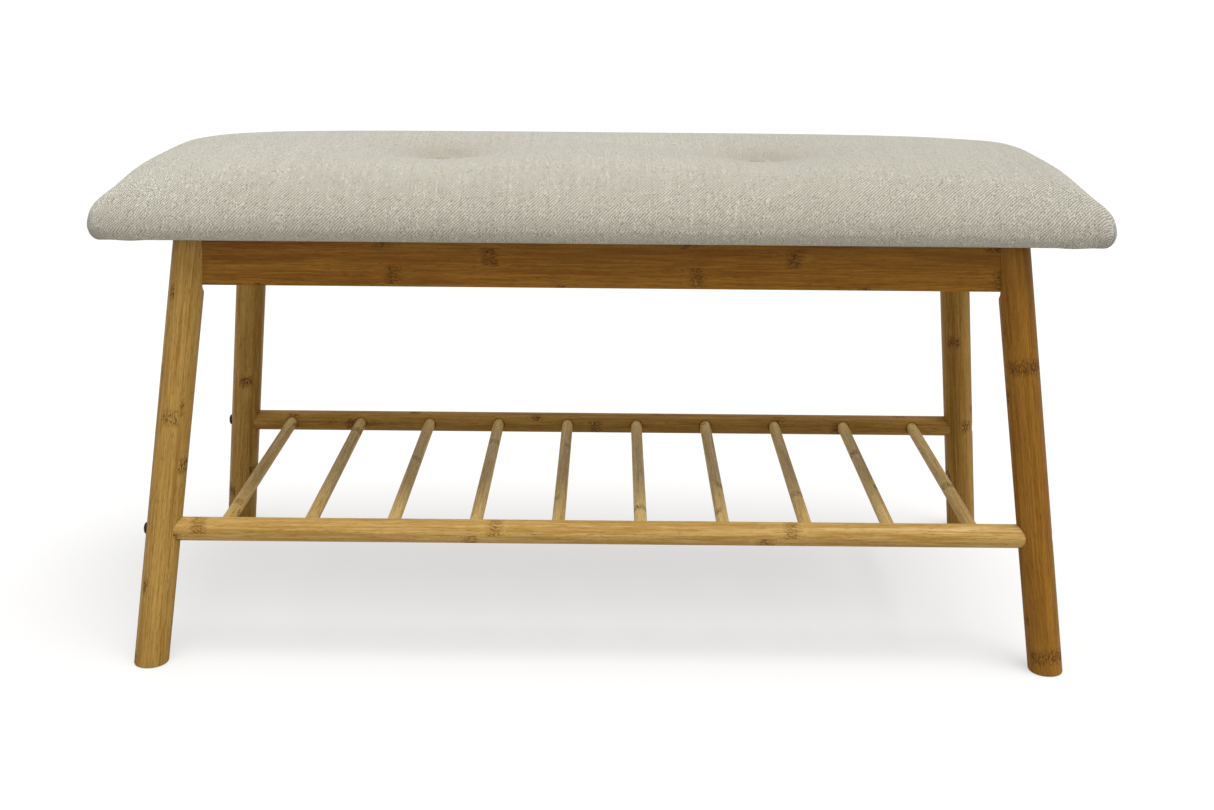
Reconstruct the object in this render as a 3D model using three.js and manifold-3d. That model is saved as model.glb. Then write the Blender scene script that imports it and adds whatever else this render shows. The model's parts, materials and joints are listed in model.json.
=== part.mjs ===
// Entryway bench: a splayed four-leg bamboo frame, a slatted shoe shelf and a tufted seat pad.
// Millimetres, +Z up. The origin is on the floor, under the middle of the bench.
// +X runs along the bench to the right, and -Y is the front.
import * as THREE from 'three';
import { mergeVertices } from 'three/addons/utils/BufferGeometryUtils.js';
import Module from 'manifold-3d';

const wasm = await Module();
wasm.setup();

// ---------- driving dimensions ----------

const GAP = 0.3; // clearance between two pieces that touch
const OVERRUN = 1; // how far a cutter runs on past the surface that it opens

// sides of round forms
const SIDES_LARGE = 32; // legs and rails
const SIDES_MEDIUM = 18; // slats, buttons and washers
const SIDES_SMALL = 12; // bolts, screws, twines and their holes
const PAD_CELLS_LONG = 22;
const PAD_CELLS_DEEP = 10;

// seat pad
const SEAT_LENGTH = 900;
const SEAT_DEPTH = 335;
const SEAT_UNDERSIDE = 391;
const SEAT_WIDEST = 404; // height at which the pad bulges out furthest
const SEAT_TOP = 460; // highest point of the crown
const SEAT_CORNER_RADIUS = 26; // in plan
const SEAT_UNDERCUT = 4; // how far the bottom edge tucks in
const SHOULDER_WIDTH = 42; // the rounded edge, measured in from the outline
const SHOULDER_RISE = 36;
const SHOULDER_POWER = 1.7; // 2 is a quarter ellipse, and less is a softer slope
const COVER_WALL = 1.4;
const HEM_WIDTH = 26; // cloth turned under the board
const BOARD_THICKNESS = 12;
const BOARD_INSET = 15; // from the pad's outline to the edge of the board
const LINING_THICKNESS = 1;
const LINING_INSET = 18;

// tufts
const TUFT_X = 150;
const WELL_TOP_RADIUS = 30;
const WELL_FLOOR_RADIUS = 11;
const WELL_DEPTH = 20;
const BUTTON_RADIUS = 10;
const BUTTON_HEIGHT = 5;
const TWINE_RADIUS = 1.2;
const WASHER_RADIUS = 10;

// legs
const LEG_RADIUS = 15.5;
const LEG_SPARE = 20; // blank length beyond each end, before the ends are cut level
const FOOT_X = 414.5;
const FOOT_Y = 183.5;
const SPLAY_X = Math.tan(THREE.MathUtils.degToRad(7.35)); // sideways lean for each mm of height
const SPLAY_Y = Math.tan(THREE.MathUtils.degToRad(8.3));

// aprons
const APRON_THICKNESS = 15;
const APRON_BOTTOM = 347;
const APRON_END_OFFSET = 11.5; // from the leg's axis to the end of the apron
const APRON_Y = 130; // middle plane of the front and rear aprons
const APRON_X = 367; // middle plane of the side aprons

// shelf
const SHELF_HEIGHT = 125.3;
const RAIL_RADIUS = 10.9;
const RAIL_END_OFFSET = 5; // from the leg's axis to the end of the rail
const SLAT_COUNT = 10;
const SLAT_PITCH = 76.6;
const SLAT_RADIUS = 6;
const SLAT_HOLE_DEPTH = 9;

// fasteners
const BOLT_RADIUS = 3;
const BOLT_HEAD_RADIUS = 6;
const BOLT_HEAD_HEIGHT = 3.4;
const BOLT_SOCKET_RADIUS = 2;
const BOLT_SOCKET_DEPTH = 2;
const SHELF_BOLT_REACH = 34; // how far a shelf bolt runs into the rail
const BOLT_SEAT_LEFT = 14.1; // bolt head's seat, measured out from the leg's axis
const BOLT_SEAT_RIGHT = 11; // the right-hand heads sit below the leg's surface
const BARREL_RADIUS = 4;
const BARREL_LENGTH = 15;
const BARREL_SETBACK = 24; // from the end of the rail to the barrel nut
const LAG_BOLT_LENGTH = 50;
const LAG_BOLT_HEIGHT = 375.5;
const SCREW_RADIUS = 2;
const SCREW_HEAD_RADIUS = 4;
const SCREW_HEAD_HEIGHT = 2.6;
const SCREW_BITE = 8; // how far a seat screw enters the board

// corner blocks
const BLOCK_SIDE = 56;
const BLOCK_NOSE = 8;
const BLOCK_HEIGHT = 27;
const BLOCK_SCREW_LONG = 42; // seat screw's place, measured along the front or rear apron
const BLOCK_SCREW_SHORT = 9; // and away from it

// ---------- derived heights and places ----------

const LINING_BOTTOM = SEAT_UNDERSIDE - GAP - LINING_THICKNESS;
const FRAME_TOP = LINING_BOTTOM - GAP;
const BOARD_BOTTOM = SEAT_UNDERSIDE + COVER_WALL + GAP;
const BOARD_TOP = BOARD_BOTTOM + BOARD_THICKNESS;
const BLOCK_CORNER_X = APRON_X - APRON_THICKNESS / 2 - GAP;
const BLOCK_CORNER_Y = APRON_Y - APRON_THICKNESS / 2 - GAP;
const BLOCK_BOTTOM = FRAME_TOP - BLOCK_HEIGHT;
const legX = (z) => FOOT_X - SPLAY_X * z;
const legY = (z) => FOOT_Y - SPLAY_Y * z;
const RAIL_Y = legY(SHELF_HEIGHT);
const RAIL_HALF = legX(SHELF_HEIGHT) - RAIL_END_OFFSET;

// ---------- materials ----------

function finish(color, roughness, metalness = 0) {
  return new THREE.MeshStandardMaterial({ color, roughness, metalness });
}

const BAMBOO = finish(0xa98248, 0.45);
const FABRIC = finish(0xc9bba6, 0.92);
const FOAM = finish(0xe8dfc4, 0.95);
const PLYWOOD = finish(0xc7a877, 0.7);
const LINING = finish(0x2b2a2a, 0.95);
const TWINE = finish(0xe6e1d4, 0.8);
const BRONZE = finish(0x3a2c22, 0.4, 0.8);
const ZINC = finish(0xa9adb0, 0.35, 0.9);

// ---------- solids ----------

/** A manifold solid from a closed geometry. */
function solid(geometry) {
  const bare = geometry.clone();
  bare.deleteAttribute('normal');
  bare.deleteAttribute('uv');
  const welded = mergeVertices(bare, 1e-4);
  return new wasm.Manifold(new wasm.Mesh({
    numProp: 3,
    vertProperties: new Float32Array(welded.attributes.position.array),
    triVerts: new Uint32Array(welded.index.array),
  }));
}

/** A geometry from a manifold solid. */
function geometryOf(body) {
  const mesh = body.getMesh();
  const geometry = new THREE.BufferGeometry();
  geometry.setAttribute('position', new THREE.BufferAttribute(mesh.vertProperties, 3));
  geometry.setIndex(new THREE.BufferAttribute(mesh.triVerts, 1));
  geometry.computeVertexNormals();
  return geometry;
}

/** A body with every one of the cutters taken out of it. */
function cut(body, cutters) {
  return cutters.reduce((rest, cutter) => rest.subtract(cutter), body);
}

/** A round rod between two points. */
function rod(radius, start, end, sides = SIDES_SMALL) {
  const axis = new THREE.Vector3().subVectors(end, start);
  const turn = new THREE.Quaternion().setFromUnitVectors(
    new THREE.Vector3(0, 1, 0),
    axis.clone().normalize(),
  );
  const middle = new THREE.Vector3().addVectors(start, end).multiplyScalar(0.5);
  return new THREE.CylinderGeometry(radius, radius, axis.length(), sides)
    .applyQuaternion(turn)
    .translate(middle.x, middle.y, middle.z);
}

/** A straight-sided box between two opposite corners, given in any order. */
function box(a, b) {
  const size = new THREE.Vector3().subVectors(b, a);
  const middle = new THREE.Vector3().addVectors(a, b).multiplyScalar(0.5);
  return new THREE.BoxGeometry(Math.abs(size.x), Math.abs(size.y), Math.abs(size.z))
    .translate(middle.x, middle.y, middle.z);
}

/** A plate whose outline lies in the XY plane, standing from z = bottom to bottom + height. */
function plate(outline, bottom, height) {
  const shape = new THREE.Shape(outline.map(([x, y]) => new THREE.Vector2(x, y)));
  return new THREE.ExtrudeGeometry(shape, { depth: height, bevelEnabled: false })
    .translate(0, 0, bottom);
}

const point = (x, y, z) => new THREE.Vector3(x, y, z);

const bench = new THREE.Group();

/** Adds one named piece to a group, at a place and a turn. */
function add(group, name, geometry, material, place = [0, 0, 0], turn = [0, 0, 0]) {
  const mesh = new THREE.Mesh(geometry, material);
  mesh.name = name;
  mesh.position.set(...place);
  mesh.rotation.set(...turn);
  group.add(mesh);
}

// ---------- seat pad ----------

/**
 * The pad's crowned form, drawn in from its true outline by an even inset. It stands on z = 0,
 * which is the pad's underside.
 */
function padForm(inset) {
  const halfLength = SEAT_LENGTH / 2 - inset;
  const halfDepth = SEAT_DEPTH / 2 - inset;
  const corner = SEAT_CORNER_RADIUS - inset;
  const rim = SEAT_WIDEST - SEAT_UNDERSIDE;
  const crown = SEAT_TOP - SEAT_WIDEST - SHOULDER_RISE - inset;
  const geometry = new THREE.BoxGeometry(2, 2, 2, PAD_CELLS_LONG, PAD_CELLS_DEEP, 1);
  const vertices = geometry.attributes.position;
  for (let i = 0; i < vertices.count; i += 1) {
    // vertices crowd towards the outline, where the form curves most
    let x = halfLength * Math.sin(vertices.getX(i) * Math.PI / 2);
    let y = halfDepth * Math.sin(vertices.getY(i) * Math.PI / 2);
    const top = vertices.getZ(i) > 0;
    const along = x / halfLength;
    const across = y / halfDepth;
    const depth = Math.min(halfLength - Math.abs(x), halfDepth - Math.abs(y));
    const cornerX = Math.abs(x) - (halfLength - corner);
    const cornerY = Math.abs(y) - (halfDepth - corner);
    if (cornerX > 0 && cornerY > 0) {
      const round = Math.max(cornerX, cornerY) / Math.hypot(cornerX, cornerY);
      x = Math.sign(x) * (halfLength - corner + cornerX * round);
      y = Math.sign(y) * (halfDepth - corner + cornerY * round);
    }
    let z = inset;
    if (top) {
      const step = 1 - Math.min(depth / SHOULDER_WIDTH, 1);
      const shoulder = (1 - step ** SHOULDER_POWER) ** (1 / SHOULDER_POWER);
      z = rim + SHOULDER_RISE * shoulder + crown * (1 - across ** 2) * (1 - along ** 4);
    } else {
      x *= 1 - SEAT_UNDERCUT / halfLength;
      y *= 1 - SEAT_UNDERCUT / halfDepth;
    }
    vertices.setXYZ(i, x, y, z);
  }
  return geometry;
}

/** The funnel of one tuft, grown outwards by an even amount. Its floor is flat. */
function tuftWell(side, grow) {
  const floor = SEAT_TOP - SEAT_UNDERSIDE - WELL_DEPTH - grow;
  const profile = [
    [0, floor],
    [WELL_FLOOR_RADIUS + grow, floor],
    [WELL_TOP_RADIUS + grow, floor + WELL_DEPTH],
    [WELL_TOP_RADIUS + grow, floor + 2 * WELL_DEPTH],
    [0, floor + 2 * WELL_DEPTH],
  ].map(([r, z]) => new THREE.Vector2(r, z));
  return new THREE.LatheGeometry(profile, SIDES_MEDIUM)
    .rotateX(Math.PI / 2)
    .translate(side * TUFT_X, 0, 0);
}

/** The pad's form with both tuft wells sunk into it. */
function tuftedForm(inset) {
  return cut(solid(padForm(inset)), [-1, 1].map((side) => solid(tuftWell(side, inset))));
}

/** The twines' way through cover, foam and board. */
function twineHoles(radius) {
  return [-1, 1].map((side) => solid(
    rod(radius, point(side * TUFT_X, 0, -SEAT_TOP), point(side * TUFT_X, 0, SEAT_TOP)),
  ));
}

const seat = new THREE.Group();
seat.position.z = SEAT_UNDERSIDE;
bench.add(seat);

const hemOpening = solid(box(
  point(-SEAT_LENGTH / 2 + HEM_WIDTH, -SEAT_DEPTH / 2 + HEM_WIDTH, -OVERRUN),
  point(SEAT_LENGTH / 2 - HEM_WIDTH, SEAT_DEPTH / 2 - HEM_WIDTH, COVER_WALL + OVERRUN),
));
const cover = cut(tuftedForm(0), [
  tuftedForm(COVER_WALL),
  hemOpening,
  ...twineHoles(TWINE_RADIUS + GAP),
]);
add(seat, 'seat_cover', geometryOf(cover), FABRIC);

const boardTop = BOARD_TOP - SEAT_UNDERSIDE;
const belowFoam = solid(box(
  point(-SEAT_LENGTH, -SEAT_DEPTH, -OVERRUN),
  point(SEAT_LENGTH, SEAT_DEPTH, boardTop + GAP),
));
const foam = cut(tuftedForm(COVER_WALL + GAP), [belowFoam, ...twineHoles(TWINE_RADIUS + GAP)]);
add(seat, 'seat_foam', geometryOf(foam), FOAM);

/** Where the four seat screws stand, in plan. */
function screwPlaces() {
  const x = BLOCK_CORNER_X - BLOCK_SCREW_LONG;
  const y = BLOCK_CORNER_Y - BLOCK_SCREW_SHORT;
  return [[-x, -y], [x, -y], [-x, y], [x, y]];
}

const boardHalfLength = SEAT_LENGTH / 2 - BOARD_INSET;
const boardHalfDepth = SEAT_DEPTH / 2 - BOARD_INSET;
const boardBottom = BOARD_BOTTOM - SEAT_UNDERSIDE;
const pilotHoles = screwPlaces().map(([x, y]) => solid(
  rod(
    SCREW_RADIUS + GAP,
    point(x, y, boardBottom - OVERRUN),
    point(x, y, boardBottom + SCREW_BITE + OVERRUN),
  ),
));
const board = cut(
  solid(box(
    point(-boardHalfLength, -boardHalfDepth, boardBottom),
    point(boardHalfLength, boardHalfDepth, boardTop),
  )),
  [...pilotHoles, ...twineHoles(TWINE_RADIUS + GAP)],
);
add(seat, 'seat_board', geometryOf(board), PLYWOOD);

const liningBottom = LINING_BOTTOM - SEAT_UNDERSIDE;
const liningHoles = screwPlaces().map(([x, y]) => solid(
  rod(SCREW_RADIUS + GAP, point(x, y, liningBottom - OVERRUN), point(x, y, OVERRUN)),
));
const lining = cut(
  solid(box(
    point(-SEAT_LENGTH / 2 + LINING_INSET, -SEAT_DEPTH / 2 + LINING_INSET, liningBottom),
    point(SEAT_LENGTH / 2 - LINING_INSET, SEAT_DEPTH / 2 - LINING_INSET, -GAP),
  )),
  liningHoles,
);
add(seat, 'underside_lining', geometryOf(lining), LINING);

// each tuft: a domed button in the well, a twine down through the board, and a washer below
const wellFloor = SEAT_TOP - SEAT_UNDERSIDE - WELL_DEPTH;
const buttonProfile = [
  new THREE.Vector2(0, 0),
  new THREE.Vector2(BUTTON_RADIUS * 0.85, 0),
  new THREE.Vector2(BUTTON_RADIUS, BUTTON_HEIGHT * 0.3),
  new THREE.Vector2(BUTTON_RADIUS * 0.8, BUTTON_HEIGHT * 0.75),
  new THREE.Vector2(BUTTON_RADIUS * 0.4, BUTTON_HEIGHT * 0.97),
  new THREE.Vector2(0, BUTTON_HEIGHT),
];
const washerHeight = boardBottom - 2 * GAP;
for (const [side, label] of [[-1, 'left'], [1, 'right']]) {
  const x = side * TUFT_X;
  const button = new THREE.LatheGeometry(buttonProfile, SIDES_MEDIUM);
  add(seat, `tuft_button_${label}`, button, FABRIC, [x, 0, wellFloor + GAP], [Math.PI / 2, 0, 0]);
  const twine = new THREE.CylinderGeometry(
    TWINE_RADIUS,
    TWINE_RADIUS,
    wellFloor - washerHeight,
    SIDES_SMALL,
  );
  add(seat, `tuft_twine_${label}`, twine, TWINE,
    [x, 0, (wellFloor + washerHeight) / 2], [Math.PI / 2, 0, 0]);
  const washer = new THREE.CylinderGeometry(
    WASHER_RADIUS,
    WASHER_RADIUS,
    washerHeight - GAP,
    SIDES_MEDIUM,
  );
  add(seat, `tuft_washer_${label}`, washer, ZINC,
    [x, 0, (washerHeight - GAP) / 2], [Math.PI / 2, 0, 0]);
}

// ---------- aprons ----------

/** A long apron's face outline in X and Z: its ends lean with the legs. */
function apronGeometry(endAt) {
  const half = (z) => endAt(z) - APRON_END_OFFSET;
  const outline = [
    [-half(APRON_BOTTOM), APRON_BOTTOM],
    [half(APRON_BOTTOM), APRON_BOTTOM],
    [half(FRAME_TOP), FRAME_TOP],
    [-half(FRAME_TOP), FRAME_TOP],
  ];
  return plate(outline, -APRON_THICKNESS / 2, APRON_THICKNESS).rotateX(Math.PI / 2);
}

for (const [side, label] of [[-1, 'front'], [1, 'rear']]) {
  add(bench, `apron_${label}`, apronGeometry(legX), BAMBOO, [0, side * APRON_Y, 0]);
}
for (const [side, label] of [[-1, 'left'], [1, 'right']]) {
  add(bench, `apron_${label}`, apronGeometry(legY), BAMBOO,
    [side * APRON_X, 0, 0], [0, 0, Math.PI / 2]);
}

// ---------- shelf ----------

const shelf = new THREE.Group();
shelf.position.z = SHELF_HEIGHT;
bench.add(shelf);

const slatPlaces = Array.from(
  { length: SLAT_COUNT },
  (_, index) => (index - (SLAT_COUNT - 1) / 2) * SLAT_PITCH,
);
const slatHoleFloor = RAIL_RADIUS - SLAT_HOLE_DEPTH; // from the rail's axis

/** One shelf rail along X, drilled for the slats, the bolts and the barrel nuts. */
function railGeometry(side) {
  const inward = -side;
  const slatHoles = slatPlaces.map((x) => solid(rod(
    SLAT_RADIUS + GAP,
    point(x, inward * slatHoleFloor, 0),
    point(x, inward * (RAIL_RADIUS + OVERRUN), 0),
    SIDES_MEDIUM,
  )));
  const boltHoles = [-1, 1].map((end) => solid(rod(
    BOLT_RADIUS + GAP,
    point(end * (RAIL_HALF - SHELF_BOLT_REACH - OVERRUN), 0, 0),
    point(end * (RAIL_HALF + OVERRUN), 0, 0),
  )));
  const barrelHoles = [-1, 1].map((end) => solid(rod(
    BARREL_RADIUS + GAP,
    point(end * (RAIL_HALF - BARREL_SETBACK), 0, -RAIL_RADIUS - OVERRUN),
    point(end * (RAIL_HALF - BARREL_SETBACK), 0, BARREL_LENGTH / 2 + GAP),
  )));
  const body = solid(rod(
    RAIL_RADIUS,
    point(-RAIL_HALF, 0, 0),
    point(RAIL_HALF, 0, 0),
    SIDES_LARGE,
  ));
  return geometryOf(cut(body, [...slatHoles, ...boltHoles, ...barrelHoles]));
}

for (const [side, label] of [[-1, 'front'], [1, 'rear']]) {
  add(shelf, `shelf_rail_${label}`, railGeometry(side), BAMBOO, [0, side * RAIL_Y, 0]);
}

const slatLength = 2 * (RAIL_Y - slatHoleFloor - GAP);
slatPlaces.forEach((x, index) => {
  const slat = new THREE.CylinderGeometry(SLAT_RADIUS, SLAT_RADIUS, slatLength, SIDES_MEDIUM);
  add(shelf, `shelf_slat_${String(index + 1).padStart(2, '0')}`, slat, BAMBOO, [x, 0, 0]);
});

// ---------- corners: leg, corner block and their fasteners ----------

/** A button-head bolt along +Y, its head's seat at y = 0 and its socket open at the top. */
function boltGeometry(length) {
  const profile = [
    [0, -length],
    [BOLT_RADIUS, -length],
    [BOLT_RADIUS, 0],
    [BOLT_HEAD_RADIUS, 0],
    [BOLT_HEAD_RADIUS * 0.92, BOLT_HEAD_HEIGHT * 0.5],
    [BOLT_HEAD_RADIUS * 0.6, BOLT_HEAD_HEIGHT],
    [BOLT_SOCKET_RADIUS, BOLT_HEAD_HEIGHT],
    [BOLT_SOCKET_RADIUS, BOLT_HEAD_HEIGHT - BOLT_SOCKET_DEPTH],
    [0, BOLT_HEAD_HEIGHT - BOLT_SOCKET_DEPTH],
  ].map(([r, y]) => new THREE.Vector2(r, y));
  return new THREE.LatheGeometry(profile, SIDES_SMALL);
}

/** A pan-head screw along +Z, its head's seat at z = 0 and its head below. */
function screwGeometry(length) {
  const profile = [
    [0, -SCREW_HEAD_HEIGHT],
    [SCREW_HEAD_RADIUS * 0.7, -SCREW_HEAD_HEIGHT],
    [SCREW_HEAD_RADIUS, -SCREW_HEAD_HEIGHT * 0.4],
    [SCREW_HEAD_RADIUS, 0],
    [SCREW_RADIUS, 0],
    [SCREW_RADIUS, length - SCREW_RADIUS],
    [0, length],
  ].map(([r, y]) => new THREE.Vector2(r, y));
  return new THREE.LatheGeometry(profile, SIDES_SMALL).rotateX(Math.PI / 2);
}

/** A barrel nut standing along Z, drilled crossways for its bolt. */
function barrelGeometry() {
  const half = BARREL_LENGTH / 2;
  const body = solid(rod(BARREL_RADIUS, point(0, 0, -half), point(0, 0, half)));
  const hole = solid(rod(
    BOLT_RADIUS + GAP,
    point(-BARREL_RADIUS - OVERRUN, 0, 0),
    point(BARREL_RADIUS + OVERRUN, 0, 0),
  ));
  return geometryOf(body.subtract(hole));
}

/** Builds everything at one corner. sx and sy are -1 or 1 and say which corner. */
function addCorner(sx, sy, label) {
  const corner = new THREE.Group();
  corner.position.set(sx * FOOT_X, sy * FOOT_Y, 0);
  bench.add(corner);
  // a bench place written for the corner at +X, +Y, turned into this corner's own coordinates
  const at = (x, y, z) => point(sx * (x - FOOT_X), sy * (y - FOOT_Y), z);
  const boltSeat = sx < 0 ? BOLT_SEAT_LEFT : BOLT_SEAT_RIGHT;
  const shelfX = legX(SHELF_HEIGHT);
  // middle of the block's bevelled face, where the lag bolt's head sits
  const bevelX = BLOCK_CORNER_X - (BLOCK_SIDE + BLOCK_NOSE) / 2;
  const bevelY = BLOCK_CORNER_Y - (BLOCK_SIDE + BLOCK_NOSE) / 2;
  const boltStep = LAG_BOLT_LENGTH / Math.SQRT2;

  const legRod = (radius) => solid(rod(
    radius,
    at(legX(-LEG_SPARE), legY(-LEG_SPARE), -LEG_SPARE),
    at(legX(FRAME_TOP + LEG_SPARE), legY(FRAME_TOP + LEG_SPARE), FRAME_TOP + LEG_SPARE),
    SIDES_LARGE,
  ));
  const trim = solid(box(
    point(-FOOT_X, -FOOT_X, 0),
    point(FOOT_X, FOOT_X, FRAME_TOP),
  ));

  // stopped grooves for the two aprons: a leaning slot that ends in a round cutter mark
  const grooveHalf = APRON_THICKNESS / 2 + GAP;
  const grooveEnd = APRON_END_OFFSET - GAP;
  const grooveLow = APRON_BOTTOM - GAP; // the cutter's axis at the end of its run
  const cutterLow = grooveLow - grooveHalf;
  const grooveHigh = FRAME_TOP + OVERRUN;
  const grooveReach = 2 * LEG_RADIUS;
  const slot = (alongX) => {
    const floorX = (z) => (alongX ? legX(z) - grooveEnd : APRON_X + grooveHalf);
    const floorY = (z) => (alongX ? APRON_Y + grooveHalf : legY(z) - grooveEnd);
    const wallX = alongX ? -grooveReach : -2 * grooveHalf;
    const wallY = alongX ? -2 * grooveHalf : -grooveReach;
    const geometry = new THREE.BoxGeometry(1, 1, 1);
    const vertices = geometry.attributes.position;
    for (let i = 0; i < vertices.count; i += 1) {
      const z = vertices.getZ(i) > 0 ? grooveHigh : grooveLow;
      const x = floorX(z) + (sx * vertices.getX(i) > 0 ? 0 : wallX);
      const y = floorY(z) + (sy * vertices.getY(i) > 0 ? 0 : wallY);
      vertices.setXYZ(i, sx * (x - FOOT_X), sy * (y - FOOT_Y), z);
    }
    const end = alongX
      ? rod(grooveHalf, at(legX(cutterLow) - grooveEnd, APRON_Y, grooveLow),
        at(legX(cutterLow) - grooveReach, APRON_Y, grooveLow), SIDES_MEDIUM)
      : rod(grooveHalf, at(APRON_X, legY(cutterLow) - grooveEnd, grooveLow),
        at(APRON_X, legY(cutterLow) - grooveReach, grooveLow), SIDES_MEDIUM);
    return [solid(geometry), solid(end)];
  };

  const railSocket = rod(
    RAIL_RADIUS + GAP,
    at(shelfX - RAIL_END_OFFSET + GAP, RAIL_Y, SHELF_HEIGHT),
    at(shelfX - 2 * LEG_RADIUS, RAIL_Y, SHELF_HEIGHT),
    SIDES_LARGE,
  );
  const boltHole = rod(
    BOLT_RADIUS + GAP,
    at(shelfX - LEG_RADIUS, RAIL_Y, SHELF_HEIGHT),
    at(shelfX + 2 * LEG_RADIUS, RAIL_Y, SHELF_HEIGHT),
  );
  const spotFace = rod(
    BOLT_HEAD_RADIUS + GAP,
    at(shelfX + boltSeat, RAIL_Y, SHELF_HEIGHT),
    at(shelfX + 2 * LEG_RADIUS, RAIL_Y, SHELF_HEIGHT),
  );
  const lagHole = rod(
    BOLT_RADIUS + GAP,
    at(bevelX - OVERRUN, bevelY - OVERRUN, LAG_BOLT_HEIGHT),
    at(bevelX + boltStep + GAP, bevelY + boltStep + GAP, LAG_BOLT_HEIGHT),
  );
  const leg = cut(legRod(LEG_RADIUS).intersect(trim), [
    ...slot(true),
    ...slot(false),
    solid(railSocket),
    solid(boltHole),
    solid(spotFace),
    solid(lagHole),
  ]);
  add(corner, `leg_${label}`, geometryOf(leg), BAMBOO);

  // corner block: a triangle in plan with blunt noses, scooped out where the leg passes
  const blockCorners = [
    [0, 0],
    [BLOCK_SIDE, 0],
    [BLOCK_SIDE, BLOCK_NOSE],
    [BLOCK_NOSE, BLOCK_SIDE],
    [0, BLOCK_SIDE],
  ].map(([a, b]) => {
    const place = at(BLOCK_CORNER_X - a, BLOCK_CORNER_Y - b, 0);
    return [place.x, place.y];
  });
  const screwX = BLOCK_CORNER_X - BLOCK_SCREW_LONG;
  const screwY = BLOCK_CORNER_Y - BLOCK_SCREW_SHORT;
  const screwHole = rod(
    SCREW_RADIUS + GAP,
    at(screwX, screwY, BLOCK_BOTTOM - OVERRUN),
    at(screwX, screwY, FRAME_TOP + OVERRUN),
  );
  const block = cut(solid(plate(blockCorners, BLOCK_BOTTOM, BLOCK_HEIGHT)), [
    legRod(LEG_RADIUS + GAP),
    solid(lagHole),
    solid(screwHole),
  ]);
  add(corner, `corner_block_${label}`, geometryOf(block), BAMBOO);

  // fasteners
  const outwards = sx < 0 ? Math.PI / 2 : -Math.PI / 2;
  const shelfBoltLength = boltSeat + RAIL_END_OFFSET + SHELF_BOLT_REACH;
  const shelfSeat = at(shelfX + boltSeat + GAP, RAIL_Y, SHELF_HEIGHT);
  add(corner, `shelf_bolt_${label}`, boltGeometry(shelfBoltLength), BRONZE,
    shelfSeat.toArray(), [0, 0, outwards]);
  const barrel = at(RAIL_HALF - BARREL_SETBACK, RAIL_Y, SHELF_HEIGHT);
  add(corner, `barrel_nut_${label}`, barrelGeometry(), ZINC, barrel.toArray());
  const lagSeat = at(bevelX - GAP, bevelY - GAP, LAG_BOLT_HEIGHT);
  const inwardAngle = Math.atan2(-sy, -sx) - Math.PI / 2;
  add(corner, `leg_bolt_${label}`, boltGeometry(LAG_BOLT_LENGTH), ZINC,
    lagSeat.toArray(), [0, 0, inwardAngle]);
  const screwLength = BOARD_BOTTOM + SCREW_BITE - BLOCK_BOTTOM;
  const screwSeat = at(screwX, screwY, BLOCK_BOTTOM - GAP);
  add(corner, `seat_screw_${label}`, screwGeometry(screwLength), ZINC, screwSeat.toArray());
}

addCorner(-1, -1, 'front_left');
addCorner(1, -1, 'front_right');
addCorner(-1, 1, 'rear_left');
addCorner(1, 1, 'rear_right');

export default bench;
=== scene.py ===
"""Entryway bench: a tufted cloth seat on a splayed bamboo frame with a slatted shoe shelf.

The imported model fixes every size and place. Each sub-assembly is a class that reads its places
from that frame, builds its own meshes in metres and dresses them in its own finishes.
"""

from __future__ import annotations

import json
import logging
import math
import random
from dataclasses import dataclass, field
from enum import Enum
from typing import Any, Callable, Iterable, Sequence

import bmesh
import bpy
import numpy as np
from mathutils import Matrix, Vector

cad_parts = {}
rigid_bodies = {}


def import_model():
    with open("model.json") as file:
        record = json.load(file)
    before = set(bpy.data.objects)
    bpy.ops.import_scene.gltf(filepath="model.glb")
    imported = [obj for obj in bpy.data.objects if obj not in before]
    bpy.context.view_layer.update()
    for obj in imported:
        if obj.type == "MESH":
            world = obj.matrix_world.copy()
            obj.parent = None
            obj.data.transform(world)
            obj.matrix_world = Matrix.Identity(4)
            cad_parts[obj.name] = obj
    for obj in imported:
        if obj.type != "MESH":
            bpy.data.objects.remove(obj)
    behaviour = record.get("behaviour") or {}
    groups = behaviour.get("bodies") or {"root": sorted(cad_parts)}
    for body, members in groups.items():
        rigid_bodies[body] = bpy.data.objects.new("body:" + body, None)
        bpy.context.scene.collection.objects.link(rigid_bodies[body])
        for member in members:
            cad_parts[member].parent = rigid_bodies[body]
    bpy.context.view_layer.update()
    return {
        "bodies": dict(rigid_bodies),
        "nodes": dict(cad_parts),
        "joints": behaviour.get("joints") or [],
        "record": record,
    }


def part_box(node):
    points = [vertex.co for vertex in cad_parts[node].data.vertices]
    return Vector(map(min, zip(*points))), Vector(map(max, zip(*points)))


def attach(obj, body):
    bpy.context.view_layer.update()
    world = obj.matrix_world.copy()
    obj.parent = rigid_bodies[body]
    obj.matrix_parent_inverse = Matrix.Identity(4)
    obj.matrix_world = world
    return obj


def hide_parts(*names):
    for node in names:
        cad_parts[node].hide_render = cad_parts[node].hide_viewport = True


log = logging.getLogger("bench")

MM = 0.001
Colour = tuple[float, float, float]
Socket = Any
X_AXIS = Vector((1.0, 0.0, 0.0))
Y_AXIS = Vector((0.0, 1.0, 0.0))
Z_AXIS = Vector((0.0, 0.0, 1.0))


class Side(Enum):
    """The two ends of the bench, and the sign of X there."""

    LEFT = -1
    RIGHT = 1

    @property
    def label(self) -> str:
        """The side's name as it stands in node names."""
        return self.name.lower()


class Corner(Enum):
    """The four corners of the bench: the signs of X and Y there."""

    FRONT_LEFT = (-1, -1)
    FRONT_RIGHT = (1, -1)
    REAR_LEFT = (-1, 1)
    REAR_RIGHT = (1, 1)

    @property
    def label(self) -> str:
        """The corner's name as it stands in node names."""
        return self.name.lower()


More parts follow.
